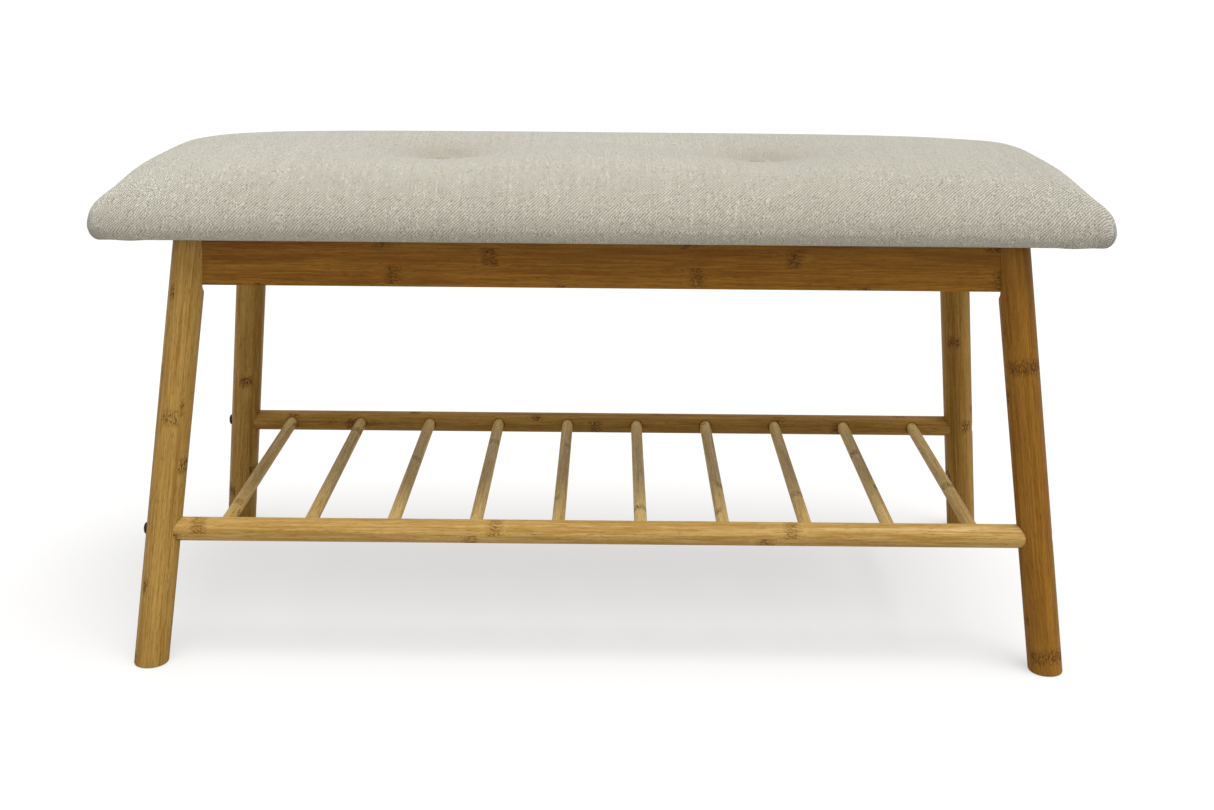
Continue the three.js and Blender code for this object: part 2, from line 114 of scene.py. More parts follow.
class Blank(Enum):
    """The lots of bamboo that the pieces are cut from: where each lot's seeds start."""

    LEGS = 1.0
    APRONS = 11.0
    BLOCKS = 21.0
    RAILS = 31.0
    SLATS = 41.0


# ---- mesh work ----


@dataclass(frozen=True)
class Axis:
    """A straight axis with two directions square to it, which carries a round or long piece."""

    start: Vector
    end: Vector

    @property
    def length(self) -> float:
        """Distance between the two ends."""
        return (self.end - self.start).length

    @property
    def along(self) -> Vector:
        """Unit direction from start to end."""
        return (self.end - self.start).normalized()

    @property
    def across(self) -> Vector:
        """Unit direction square to the axis, as level as it can be."""
        helper = X_AXIS if abs(self.along.x) < 0.9 else Y_AXIS
        return (helper - self.along * helper.dot(self.along)).normalized()

    @property
    def through(self) -> Vector:
        """Unit direction square to the other two."""
        return self.along.cross(self.across)

    def at(self, distance: float, radius: float = 0.0, angle: float = 0.0) -> Vector:
        """A point beside the axis.

        Args:
            distance: how far along the axis, from its start.
            radius: how far out from it.
            angle: where round it, in radians.

        Returns:
            The point, in bench coordinates.
        """
        out = self.across * math.cos(angle) + self.through * math.sin(angle)
        return self.start + self.along * distance + out * radius

    def local(self, point: Vector) -> Vector:
        """A bench point as (along, across, through) distances from the start."""
        offset = point - self.start
        return Vector((offset.dot(self.along), offset.dot(self.across), offset.dot(self.through)))


def middle_axis(low: Vector, high: Vector, way: int) -> Axis:
    """The axis through the middle of a box, along X, Y or Z for a way of 0, 1 or 2."""
    start = (low + high) / 2
    end = start.copy()
    start[way], end[way] = low[way], high[way]
    return Axis(start, end)


def make_object(name: str, mesh: bpy.types.Mesh) -> bpy.types.Object:
    """Puts a mesh into the scene as a named object.

    Args:
        name: the piece's name.
        mesh: its mesh, in bench coordinates.

    Returns:
        The new object, at the origin.
    """
    piece = bpy.data.objects.new(name, mesh)
    bpy.context.scene.collection.objects.link(piece)
    return piece


def mesh_piece(
    name: str, points: Sequence[Vector], faces: Sequence[Sequence[int]]
) -> bpy.types.Object:
    """Makes an object from points and faces, with its faces turned outwards.

    Args:
        name: the piece's name.
        points: vertex places, in bench coordinates.
        faces: vertex numbers of each face.

    Returns:
        The new object.
    """
    mesh = bpy.data.meshes.new(name)
    mesh.from_pydata([tuple(p) for p in points], [], [tuple(f) for f in faces])
    work = bmesh.new()
    work.from_mesh(mesh)
    bmesh.ops.recalc_face_normals(work, faces=work.faces)
    work.to_mesh(mesh)
    work.free()
    return make_object(name, mesh)


def stack_rings(name: str, rings: Sequence[Sequence[Vector]]) -> bpy.types.Object:
    """Closes a stack of equal rings into one solid, with a flat cap at each end.

    Args:
        name: the piece's name.
        rings: rings of points, all with the same count, from one end to the other.

    Returns:
        The closed object.
    """
    count = len(rings[0])
    points = [p for ring in rings for p in ring]
    faces: list[Sequence[int]] = []
    for level in range(len(rings) - 1):
        low = level * count
        for i in range(count):
            j = (i + 1) % count
            faces.append((low + i, low + j, low + count + j, low + count + i))
    faces.append(tuple(reversed(range(count))))
    top = (len(rings) - 1) * count
    faces.append(tuple(range(top, top + count)))
    return mesh_piece(name, points, faces)


def turned(
    name: str, axis: Axis, profile: Sequence[tuple[float, float]], segments: int = 64
) -> bpy.types.Object:
    """Turns a profile about an axis.

    Args:
        name: the piece's name.
        axis: the axis to turn about.
        profile: (distance along, radius) pairs, from one end to the other.
        segments: how many flats go round it.

    Returns:
        The closed, turned object.
    """
    rings = [
        [axis.at(along, radius, 2 * math.pi * i / segments) for i in range(segments)]
        for along, radius in profile
    ]
    return stack_rings(name, rings)


def round_cutter(axis: Axis, radius: float, segments: int) -> bpy.types.Object:
    """A round bar the whole length of an axis, to cut a hole with."""
    return turned("cutter", axis, [(0.0, radius), (axis.length, radius)], segments)


def grid_faces(row: int, rows: int) -> list[tuple[int, ...]]:
    """The square faces of a sheet whose points lie in rows.

    Args:
        row: how many points one row has.
        rows: how many rows there are.

    Returns:
        Vertex numbers of each face.
    """
    faces: list[tuple[int, ...]] = []
    for j in range(rows - 1):
        for i in range(row - 1):
            a = j * row + i
            faces.append((a, a + 1, a + row + 1, a + row))
    return faces


def face_up(sheet: bpy.types.Object) -> None:
    """Turns an open sheet over if its highest face looks down."""
    top_face = max(sheet.data.polygons, key=lambda f: f.center.z)
    if top_face.normal.z < 0:
        sheet.data.flip_normals()


def dowel_profile(
    length: float, radius: float, chamfer: float, steps: int = 3
) -> list[tuple[float, float]]:
    """The profile of a dowel whose two ends are rounded over.

    Args:
        length: the dowel's length.
        radius: its radius.
        chamfer: size of the rounded edge.
        steps: how many facets each rounded edge has.

    Returns:
        (distance along, radius) pairs.
    """
    edge = []
    for i in range(steps + 1):
        angle = math.pi / 2 * i / steps
        edge.append((chamfer * (1 - math.sin(angle)), radius - chamfer * (1 - math.cos(angle))))
    first = [(a, r) for a, r in reversed(edge)]
    return first + [(length - a, r) for a, r in edge]


def cut_away(piece: bpy.types.Object, cutters: Iterable[bpy.types.Object]) -> None:
    """Cuts every cutter out of a piece, then deletes the cutters.

    Args:
        piece: the object to cut.
        cutters: closed objects that mark what is taken away.
    """
    for cutter in cutters:
        tool = piece.modifiers.new("cut", "BOOLEAN")
        tool.operation = "DIFFERENCE"
        tool.solver = "EXACT"
        tool.object = cutter
        apply_modifiers(piece)
        bpy.data.objects.remove(cutter)


def apply_modifiers(piece: bpy.types.Object) -> None:
    """Replaces an object's mesh by what its modifiers make of it, and removes them."""
    graph = bpy.context.evaluated_depsgraph_get()
    made = bpy.data.meshes.new_from_object(
        piece.evaluated_get(graph), preserve_all_data_layers=True, depsgraph=graph
    )
    piece.modifiers.clear()
    piece.data = made


def smooth(piece: bpy.types.Object, angle: float = 35.0) -> None:
    """Shades a piece smooth, except over edges sharper than an angle in degrees."""
    piece.data.shade_smooth()
    piece.data.set_sharp_from_angle(angle=math.radians(angle))


def true_round(piece: bpy.types.Object, axis: Axis, radius: float) -> None:
    """Gives the faces on a turned surface the exact normals of the round form.

    Args:
        piece: the object, already shaded smooth.
        axis: the axis that the surface was turned about.
        radius: the surface's radius.
    """
    mesh = piece.data
    normals = [Vector(n.vector) for n in mesh.corner_normals]
    slack = 0.15 * MM
    end_slope = 0.3  # a face that leans more than this along the axis belongs to an end
    for face in mesh.polygons:
        outs = []
        for index in face.vertices:
            place = axis.local(mesh.vertices[index].co)
            outs.append(axis.across * place.y + axis.through * place.z)
        if any(abs(out.length - radius) > slack for out in outs):
            continue
        if abs(face.normal.dot(axis.along)) > end_slope:
            continue
        for loop, out in zip(face.loop_indices, outs):
            normals[loop] = out.normalized()
    mesh.normals_split_custom_set(normals)


def mark_grain(piece: bpy.types.Object, axis: Axis, seed: float, stain: float = 0.0) -> None:
    """Stores on each point where it lies in the blank that the piece was cut from.

    Args:
        piece: the wooden piece.
        axis: an axis along the fibres.
        seed: a number that picks another part of the blank for each piece.
        stain: how dark the blank is, from 0 for the palest to 1.
    """
    mesh = piece.data
    seed_steps = (1.37, 0.731, 0.419)
    shift = Vector([seed * step for step in seed_steps])
    store = mesh.attributes.new("grain", "FLOAT_VECTOR", "POINT")
    for vertex in mesh.vertices:
        store.data[vertex.index].vector = axis.local(vertex.co) + shift
    store = mesh.attributes.new("stain", "FLOAT", "POINT")
    store.data.foreach_set("value", [stain] * len(mesh.vertices))


def mark_cloth(piece: bpy.types.Object, places: np.ndarray) -> None:
    """Stores where each point of a piece lies on the flat cloth, in metres."""
    store = piece.data.attributes.new("cloth", "FLOAT_VECTOR", "POINT")
    store.data.foreach_set("vector", places.reshape(-1))


def mark_hollow(piece: bpy.types.Object, depths: np.ndarray) -> None:
    """Stores how much painted shade each point of a cloth gets at a tuft, from 0 for none to 1."""
    store = piece.data.attributes.new("hollow", "FLOAT", "POINT")
    store.data.foreach_set("value", depths)


def box_mesh(name: str, low: Vector, high: Vector, edge: float, steps: int = 3) -> bpy.types.Object:
    """A box with rounded edges.

    Args:
        name: the piece's name.
        low: its lowest corner.
        high: its highest corner.
        edge: radius of the rounded edges.
        steps: facets in each rounded edge.

    Returns:
        The new object.
    """
    corners = [
        Vector((x, y, z)) for z in (low.z, high.z) for y in (low.y, high.y) for x in (low.x, high.x)
    ]
    faces = [(0, 2, 3, 1), (4, 5, 7, 6), (0, 1, 5, 4), (1, 3, 7, 5), (3, 2, 6, 7), (2, 0, 4, 6)]
    piece = mesh_piece(name, corners, faces)
    round_edges(piece, edge, steps)
    return piece


def round_edges(
    piece: bpy.types.Object,
    width: float,
    steps: int,
    pick: Callable[[bmesh.types.BMEdge], bool] = lambda edge: True,
) -> None:
    """Rounds the edges of a piece.

    Args:
        piece: the object.
        width: size of the rounding.
        steps: facets in each rounding.
        pick: says which edges are rounded.
    """
    work = bmesh.new()
    work.from_mesh(piece.data)
    edges = [e for e in work.edges if pick(e)]
    bmesh.ops.bevel(
        work,
        geom=edges,
        offset=width,
        segments=steps,
        profile=0.5,
        affect="EDGES",
        clamp_overlap=True,
    )
    work.to_mesh(piece.data)
    work.free()


def dress(piece: bpy.types.Object, finish: bpy.types.Material) -> None:
    """Gives a piece its finish and its place on the fixed body.

    Args:
        piece: the finished object.
        finish: its material.
    """
    piece.data.materials.clear()
    piece.data.materials.append(finish)
    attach(piece, "root")


# ---- node work ----


@dataclass
class Canvas:
    """Lays shader nodes in one tree and wires them together."""

    tree: bpy.types.NodeTree

    def add(self, kind: str, inputs: dict[Any, Any] | None = None, **props: Any) -> Any:
        """Adds a node.

        Args:
            kind: the node's type name.
            inputs: sockets or plain values, by input name or number.
            props: properties of the node itself.

        Returns:
            The node.
        """
        node = self.tree.nodes.new(kind)
        for key, value in props.items():
            setattr(node, key, value)
        for key, value in (inputs or {}).items():
            self.feed(node.inputs[key], value)
        return node

    def feed(self, target: Socket, value: Any) -> None:
        """Wires a socket into an input, or sets the input's own value."""
        if isinstance(value, bpy.types.NodeSocket):
            self.tree.links.new(value, target)
        elif isinstance(value, tuple) and len(value) == 3 and target.type == "RGBA":
            target.default_value = (*value, 1.0)
        else:
            target.default_value = value

    def group(self, tree: bpy.types.NodeTree, inputs: dict[str, Any]) -> Any:
        """Puts a shared node group in, with values or sockets by input name."""
        return self.add("ShaderNodeGroup", inputs, node_tree=tree)

    def math(self, operation: str, a: Any, b: Any = 0.0, clamp: bool = False) -> Socket:
        """One step of arithmetic on single values."""
        node = self.add("ShaderNodeMath", {0: a, 1: b}, operation=operation, use_clamp=clamp)
        return node.outputs[0]

    def plus(self, a: Any, b: Any, clamp: bool = False) -> Socket:
        """The sum of two values."""
        return self.math("ADD", a, b, clamp)

    def minus(self, a: Any, b: Any, clamp: bool = False) -> Socket:
        """The difference of two values."""
        return self.math("SUBTRACT", a, b, clamp)

    def times(self, a: Any, b: Any) -> Socket:
        """The product of two values."""
        return self.math("MULTIPLY", a, b)

    def scaled(self, vector: Any, scale: tuple[float, float, float]) -> Socket:
        """A vector with each part multiplied by its own number."""
        node = self.add("ShaderNodeVectorMath", {0: vector, 1: scale}, operation="MULTIPLY")
        return node.outputs[0]

    def split(self, vector: Any) -> tuple[Socket, Socket, Socket]:
        """The three parts of a vector."""
        node = self.add("ShaderNodeSeparateXYZ", {0: vector})
        return node.outputs[0], node.outputs[1], node.outputs[2]

    def join(self, x: Any, y: Any, z: Any) -> Socket:
        """A vector from its three parts."""
        return self.add("ShaderNodeCombineXYZ", {0: x, 1: y, 2: z}).outputs[0]

    def noise(self, where: Any, scale: Any, detail: float = 2.0, rough: float = 0.5) -> Socket:
        """Smooth noise from about 0 to 1."""
        node = self.add(
            "ShaderNodeTexNoise",
            {"Vector": where, "Scale": scale, "Detail": detail, "Roughness": rough},
        )
        return node.outputs[0]

    def dice(self, where: Any) -> tuple[Socket, Socket]:
        """A random value and a random colour for each whole-number place."""
        node = self.add("ShaderNodeTexWhiteNoise", {"Vector": where}, noise_dimensions="3D")
        return node.outputs["Value"], node.outputs["Color"]

    def span(self, value: Any, low: float, high: float, to: tuple[float, float] = (0, 1)) -> Socket:
        """A value stretched from one range to another and held inside it."""
        node = self.add(
            "ShaderNodeMapRange",
            {"Value": value, "From Min": low, "From Max": high, "To Min": to[0], "To Max": to[1]},
            clamp=True,
        )
        return node.outputs[0]

    def blend(self, factor: Any, a: Any, b: Any, how: str = "MIX") -> Socket:
        """Two colours mixed."""
        node = self.add("ShaderNodeMix", data_type="RGBA", blend_type=how, clamp_factor=True)
        self.feed(node.inputs[0], factor)
        self.feed(node.inputs[6], a)
        self.feed(node.inputs[7], b)
        return node.outputs[2]

    def stored(self, name: str, kind: str = "Vector") -> Socket:
        """A vector, or a single value with kind "Fac", that the mesh stores on its points."""
        return self.add("ShaderNodeAttribute", attribute_name=name).outputs[kind]


@dataclass(frozen=True)
class GroupSpec:
    """The name and the sockets of a shared node group."""

    name: str
    inputs: tuple[tuple[str, str, Any], ...]
    outputs: tuple[tuple[str, str], ...]

    def start(self) -> tuple[Canvas, Any, Any]:
        """Makes the empty group.

        Returns:
            A canvas on it, its input node and its output node.
        """
        tree = bpy.data.node_groups.new(self.name, "ShaderNodeTree")
        for label, kind, value in self.inputs:
            made = tree.interface.new_socket(label, in_out="INPUT", socket_type=kind)
            if value is not None:
                made.default_value = value
        for label, kind in self.outputs:
            tree.interface.new_socket(label, in_out="OUTPUT", socket_type=kind)
        canvas = Canvas(tree)
        return canvas, canvas.add("NodeGroupInput"), canvas.add("NodeGroupOutput")


FLOAT = "NodeSocketFloat"
VECTOR = "NodeSocketVector"
COLOUR = "NodeSocketColor"


class Effects:
    """The shader node groups that several finishes share, each made once."""

    def __init__(self) -> None:
        """Builds every shared group."""
        self.mottle = self._mottle()
        self.bamboo = self._bamboo()
        self.weave = self._weave()

    def _mottle(self) -> bpy.types.NodeTree:
        """Slow, cloudy change of tone over a surface, with a finer speckle in it."""
        spec = GroupSpec(
            "mottle",
            (("Place", VECTOR, None), ("Cloud Scale", FLOAT, 8.0), ("Speckle Scale", FLOAT, 300.0)),
            (("Cloud", FLOAT), ("Speckle", FLOAT)),
        )
        canvas, given, out = spec.start()
        place, cloud_scale, speckle_scale = given.outputs[:3]
        cloud = canvas.noise(place, cloud_scale, 3.0)
        speckle = canvas.noise(place, speckle_scale, 1.0)
        canvas.feed(out.inputs[0], canvas.span(cloud, 0.3, 0.7))
        canvas.feed(out.inputs[1], canvas.span(speckle, 0.3, 0.7))
        return canvas.tree

    def _bamboo(self) -> bpy.types.NodeTree:
        """Laminated bamboo: glued strips of slightly different tone, long fibres and knuckles."""
        spec = GroupSpec(
            "bamboo_figure",
            (
                ("Grain", VECTOR, None),
                ("Stain", FLOAT, 0.0),
                ("Light", COLOUR, (0.5, 0.35, 0.12, 1.0)),
                ("Dark", COLOUR, (0.3, 0.18, 0.05, 1.0)),
                ("Knuckle Tone", COLOUR, (0.15, 0.07, 0.015, 1.0)),
                ("Strip Width", FLOAT, 0.009),
                ("Strip Depth", FLOAT, 0.018),
                ("Knuckle Spacing", FLOAT, 0.26),
            ),
            (("Colour", COLOUR), ("Roughness", FLOAT), ("Height", FLOAT)),
        )
        canvas, given, out = spec.start()
        grain, stain, light, dark, knuckle_tone, width, depth, spacing = given.outputs[:8]
        along, across, through = canvas.split(grain)
        # the strips wander a little, as hand-fed stock does
        wander = canvas.noise(canvas.scaled(grain, (3.0, 25.0, 25.0)), 1.0, 1.0)
        bend = canvas.times(canvas.minus(wander, 0.5), 0.0018)
        cell_a = canvas.math("DIVIDE", canvas.plus(across, bend), width)
        cell_b = canvas.math("DIVIDE", canvas.minus(through, bend), depth)
        strip_a = canvas.math("FLOOR", cell_a)
        strip_b = canvas.math("FLOOR", cell_b)
        strip_tone, picks = canvas.dice(canvas.join(strip_a, strip_b, 3.0))
        pick_r, pick_g, _ = canvas.split(picks)
        # knuckles: one every spacing along each strip, at the strip's own start
        offset = canvas.times(pick_r, spacing)
        turn = canvas.math("DIVIDE", canvas.plus(along, offset), spacing)
        turn = canvas.minus(canvas.math("FRACT", turn), 0.5)
        ragged = canvas.noise(canvas.scaled(grain, (60.0, 900.0, 900.0)), 1.0, 1.0)
        rag = canvas.times(canvas.minus(ragged, 0.5), 0.007)
        from_knuckle = canvas.plus(canvas.times(turn, spacing), rag)
        distance = canvas.math("ABSOLUTE", from_knuckle)
        near = canvas.span(distance, 0.0095, 0.003)
        halo = canvas.span(distance, 0.024, 0.002)
        # fibres: long streaks at three widths, pushed aside where they pass a knuckle
        swirl = canvas.noise(canvas.scaled(grain, (70.0, 160.0, 160.0)), 1.0, 1.0)
        swirl = canvas.times(canvas.minus(swirl, 0.5), halo)
        moved = canvas.plus(across, canvas.times(swirl, 0.008))
        jump = canvas.times(strip_tone, 9.0)
        jump = canvas.join(along, canvas.plus(moved, jump), through)
        fine = canvas.noise(canvas.scaled(jump, (45.0, 2100.0, 1500.0)), 1.0, 2.0, 0.6)
        middle = canvas.noise(canvas.scaled(jump, (14.0, 620.0, 480.0)), 1.0, 2.0, 0.55)
        broad = canvas.noise(canvas.scaled(jump, (5.0, 150.0, 120.0)), 1.0, 1.0)
        fine_part = canvas.times(canvas.span(fine, 0.28, 0.72), 0.42)
        middle_part = canvas.times(canvas.span(middle, 0.3, 0.7), 0.34)
        broad_part = canvas.times(canvas.span(broad, 0.3, 0.7), 0.24)
        fibre = canvas.plus(canvas.plus(fine_part, middle_part), broad_part)
        contrast = canvas.times(canvas.minus(fibre, 0.5), 2.0)
        strip_shade = canvas.plus(canvas.times(strip_tone, 0.4), 0.3)
        shade = canvas.plus(contrast, strip_shade, clamp=True)
        # short dark pores between the fibres, thick as brush strokes at the knuckles
        pores = canvas.noise(canvas.scaled(jump, (130.0, 2300.0, 1700.0)), 1.0, 1.0)
        pores = canvas.span(pores, 0.6, 0.72, (0.0, 0.6))
        strokes = canvas.noise(canvas.scaled(jump, (330.0, 1300.0, 1000.0)), 1.0, 1.0)
        strength = canvas.plus(0.7, canvas.times(pick_g, 0.3))
        speck = canvas.times(near, canvas.span(strokes, 0.47, 0.54))
        speck = canvas.times(speck, strength)
        mark = canvas.math("MAXIMUM", speck, pores)
        # a glue line between strips, thin and a little darker
        edge = canvas.math("ABSOLUTE", canvas.minus(canvas.math("FRACT", cell_a), 0.5))
        glue = canvas.span(edge, 0.475, 0.5, (0.0, 0.4))
        body = canvas.blend(shade, dark, light)
        pale = canvas.times(canvas.minus(halo, near, clamp=True), 0.3)
        body = canvas.blend(pale, body, light)
        body = canvas.blend(glue, body, dark)
        body = canvas.blend(stain, body, (0.57, 0.385, 0.115), "MULTIPLY")
        body = canvas.blend(mark, body, knuckle_tone)
        canvas.feed(out.inputs[0], body)
        rough = canvas.plus(canvas.times(fibre, -0.12), 0.06)
        canvas.feed(out.inputs[1], canvas.plus(rough, canvas.times(mark, 0.2)))
        high = canvas.plus(fine, canvas.times(middle, 0.8))
        high = canvas.minus(high, canvas.times(mark, 0.9))
        canvas.feed(out.inputs[2], canvas.minus(high, glue))
        return canvas.tree

    def _weave(self) -> bpy.types.NodeTree:
        """Woven cloth: threads over and under each other on a stored cloth coordinate."""
        spec = GroupSpec(
            "thread_weave",
            (
                ("Cloth", VECTOR, None),
                ("Pitch", FLOAT, 0.0009),
                ("Repeat", FLOAT, 4.0),
                ("Warp", COLOUR, (0.6, 0.55, 0.45, 1.0)),
                ("Weft", COLOUR, (0.45, 0.4, 0.33, 1.0)),
                ("Gap", COLOUR, (0.2, 0.17, 0.13, 1.0)),
            ),
            (("Colour", COLOUR), ("Height", FLOAT)),
        )
        canvas, given, out = spec.start()
        cloth, pitch, repeat, warp, weft, gap = given.outputs[:6]
        u, v, _ = canvas.split(cloth)
        waver = canvas.noise(canvas.scaled(cloth, (60.0, 60.0, 60.0)), 1.0, 1.0)
        bend = canvas.times(canvas.minus(waver, 0.5), 0.0006)
        cell_u = canvas.math("DIVIDE", canvas.plus(u, bend), pitch)
        cell_v = canvas.math("DIVIDE", canvas.minus(v, bend), pitch)
        end = canvas.math("FLOOR", cell_u)
        pick = canvas.math("FLOOR", cell_v)
        count = canvas.minus(end, pick)
        slip, _ = canvas.dice(canvas.join(end, pick, 9.0))
        slip = canvas.times(slip, 0.42)
        step = canvas.math("FRACT", canvas.math("DIVIDE", count, repeat))
        step = canvas.plus(step, canvas.minus(slip, 0.21))
        over = canvas.math("LESS_THAN", step, 0.499)
        hump_u = canvas.math("SINE", canvas.times(canvas.math("FRACT", cell_u), math.pi))
        hump_v = canvas.math("SINE", canvas.times(canvas.math("FRACT", cell_v), math.pi))
        thread = canvas.add(
            "ShaderNodeMix", {0: over, 2: hump_v, 3: hump_u}, data_type="FLOAT"
        ).outputs[0]
        warp_pick, _ = canvas.dice(canvas.join(end, 5.0, 1.0))
        weft_pick, _ = canvas.dice(canvas.join(7.0, pick, 2.0))
        slub_u = canvas.noise(canvas.join(canvas.times(end, 3.1), v, 0.0), 110.0, 1.0)
        slub_v = canvas.noise(canvas.join(u, canvas.times(pick, 2.7), 0.0), 110.0, 1.0)
        tone_u = canvas.plus(canvas.times(warp_pick, 0.5), slub_u)
        tone_v = canvas.plus(canvas.times(weft_pick, 0.5), slub_v)
        tone = canvas.add("ShaderNodeMix", {0: over, 2: tone_v, 3: tone_u}, data_type="FLOAT")
        yarn = canvas.blend(over, weft, warp)
        lit = canvas.span(tone.outputs[0], 0.4, 1.1)
        yarn = canvas.blend(canvas.times(lit, 0.3), yarn, weft)
        # painted shade: where a thread dips between its neighbours, its colour goes towards the gap
        # shade colour
        shadow = canvas.span(thread, 0.55, 0.05)
        canvas.feed(out.inputs[0], canvas.blend(canvas.times(shadow, 0.6), yarn, gap))
        canvas.feed(out.inputs[1], thread)
        return canvas.tree


@dataclass(frozen=True)
class Finish:
    """What every finish has: a name, and a shader that it is mixed on."""

    name: str

    def begin(self) -> tuple[bpy.types.Material, Canvas, Any]:
        """Makes the empty material.

        Returns:
            The material, a canvas on it and its shader node.
        """
        material = bpy.data.materials.new(self.name)
        material.use_nodes = True
        canvas = Canvas(material.node_tree)
        shader = material.node_tree.nodes["Principled BSDF"]
        return material, canvas, shader

    def relief(self, canvas: Canvas, shader: Any, height: Socket, depth: float) -> None:
        """Turns a height into the shader's normal.

        Args:
            canvas: the material's canvas.
            shader: the shader node.
            height: the height, from about 0 to 1.
            depth: how deep a height of 1 is, in metres.
        """
        bump = canvas.add(
            "ShaderNodeBump", {"Strength": 1.0, "Distance": depth, "Height": height}
        )
        canvas.feed(shader.inputs["Normal"], bump.outputs[0])


@dataclass(frozen=True)
class BambooFinish(Finish):
    """Bamboo strip wood, lacquered or left raw."""

    light: Colour
    dark: Colour
    knuckle: Colour
    roughness: float
    coat: float
    strip_width: float = 14.2 * MM
    strip_depth: float = 17 * MM
    knuckle_spacing: float = 0.27

    def make(self, effects: Effects) -> bpy.types.Material:
        """Mixes the finish.

        Args:
            effects: the shared node groups.

        Returns:
            The material.
        """
        material, canvas, shader = self.begin()
        grain = canvas.stored("grain")
        figure = canvas.group(
            effects.bamboo,
            {
                "Grain": grain,
                "Stain": canvas.stored("stain", "Fac"),
                "Light": self.light,
                "Dark": self.dark,
                "Knuckle Tone": self.knuckle,
                "Strip Width": self.strip_width,
                "Strip Depth": self.strip_depth,
                "Knuckle Spacing": self.knuckle_spacing,
            },
        )
        clouds = canvas.group(
            effects.mottle, {"Place": grain, "Cloud Scale": 9.0, "Speckle Scale": 900.0}
        )
        deeper = tuple(0.82 * c for c in self.dark)
        tint = canvas.times(clouds.outputs["Cloud"], 0.16)
        colour = canvas.blend(tint, figure.outputs["Colour"], deeper)
        canvas.feed(shader.inputs["Base Color"], colour)
        rough = canvas.plus(figure.outputs["Roughness"], self.roughness)
        canvas.feed(shader.inputs["Roughness"], rough)
        shader.inputs["Coat Weight"].default_value = self.coat
        shader.inputs["Coat Roughness"].default_value = 0.32
        shader.inputs["Specular IOR Level"].default_value = 0.15
        self.relief(canvas, shader, figure.outputs["Height"], 0.05 * MM)
        return material


@dataclass(frozen=True)
class ClothFinish(Finish):
    """A woven cloth on a stored cloth coordinate."""

    warp: Colour
    weft: Colour
    # the colour of the painted shade between the threads
    gap: Colour
    pitch: float
    repeat: float
    roughness: float
    sheen: float
    relief_depth: float

    def make(self, effects: Effects) -> bpy.types.Material:
        """Mixes the finish.

        Args:
            effects: the shared node groups.

        Returns:
            The material.
        """
        material, canvas, shader = self.begin()
        cloth = canvas.stored("cloth")
        weave = canvas.group(
            effects.weave,
            {
                "Cloth": cloth,
                "Pitch": self.pitch,
                "Repeat": self.repeat,
                "Warp": self.warp,
                "Weft": self.weft,
                "Gap": self.gap,
            },
        )
        clouds = canvas.group(
            effects.mottle, {"Place": cloth, "Cloud Scale": 7.0, "Speckle Scale": 420.0}
        )
        shade = canvas.times(clouds.outputs["Cloud"], 0.08)
        colour = canvas.blend(shade, weave.outputs["Colour"], self.weft)
        fleck = canvas.times(clouds.outputs["Speckle"], 0.22)
        colour = canvas.blend(fleck, colour, self.warp)
        # painted shade: the cloth in and around a tuft is made a little darker and warmer, in place of
        # the shade that falls in the well
        hollow = canvas.times(canvas.stored("hollow", "Fac"), 0.5)
        shaded = tuple(share * c for share, c in zip((0.48, 0.44, 0.40), self.warp))
        colour = canvas.blend(hollow, colour, shaded)
        canvas.feed(shader.inputs["Base Color"], colour)
        rough = canvas.times(clouds.outputs["Cloud"], 0.06)
        canvas.feed(shader.inputs["Roughness"], canvas.plus(rough, self.roughness))
        shader.inputs["Sheen Weight"].default_value = self.sheen
        shader.inputs["Sheen Roughness"].default_value = 0.4
        shader.inputs["Specular IOR Level"].default_value = 0.25
        self.relief(canvas, shader, weave.outputs["Height"], self.relief_depth)
        return material


@dataclass(frozen=True)
class MetalFinish(Finish):
    """A plated or coated metal with fine handling marks."""

    colour: Colour
    bare: Colour
    roughness: float
    metallic: float

    def make(self, effects: Effects) -> bpy.types.Material:
        """Mixes the finish.

        Args:
            effects: the shared node groups.

        Returns:
            The material.
        """
        material, canvas, shader = self.begin()
        place = canvas.add("ShaderNodeNewGeometry").outputs["Position"]
        marks = canvas.group(
            effects.mottle, {"Place": place, "Cloud Scale": 160.0, "Speckle Scale": 2500.0}
        )
        worn = canvas.times(marks.outputs["Speckle"], marks.outputs["Cloud"])
        colour = canvas.blend(canvas.times(worn, 0.45), self.colour, self.bare)
        canvas.feed(shader.inputs["Base Color"], colour)
        rough = canvas.times(marks.outputs["Cloud"], 0.14)
        canvas.feed(shader.inputs["Roughness"], canvas.plus(rough, self.roughness))
        shader.inputs["Metallic"].default_value = self.metallic
        self.relief(canvas, shader, marks.outputs["Speckle"], 0.01 * MM)
        return material


@dataclass(frozen=True)
class PlainFinish(Finish):
    """Foam, plywood or twine: two tones in cloudy layers with a small relief."""

    light: Colour
    dark: Colour
    roughness: float
    stretch: tuple[float, float, float]
    relief_depth: float

    def make(self, effects: Effects) -> bpy.types.Material:
        """Mixes the finish.

        Args:
            effects: the shared node groups.

        Returns:
            The material.
        """
        material, canvas, shader = self.begin()
        place = canvas.add("ShaderNodeNewGeometry").outputs["Position"]
        layers = canvas.group(
            effects.mottle,
            {
                "Place": canvas.scaled(place, self.stretch),
                "Cloud Scale": 30.0,
                "Speckle Scale": 700.0,
            },
        )
        mixed = canvas.times(layers.outputs["Speckle"], 0.5)
        mixed = canvas.plus(mixed, canvas.times(layers.outputs["Cloud"], 0.5))
        canvas.feed(shader.inputs["Base Color"], canvas.blend(mixed, self.light, self.dark))
        rough = canvas.times(layers.outputs["Cloud"], 0.1)
        canvas.feed(shader.inputs["Roughness"], canvas.plus(rough, self.roughness))
        self.relief(canvas, shader, layers.outputs["Speckle"], self.relief_depth)
        return material


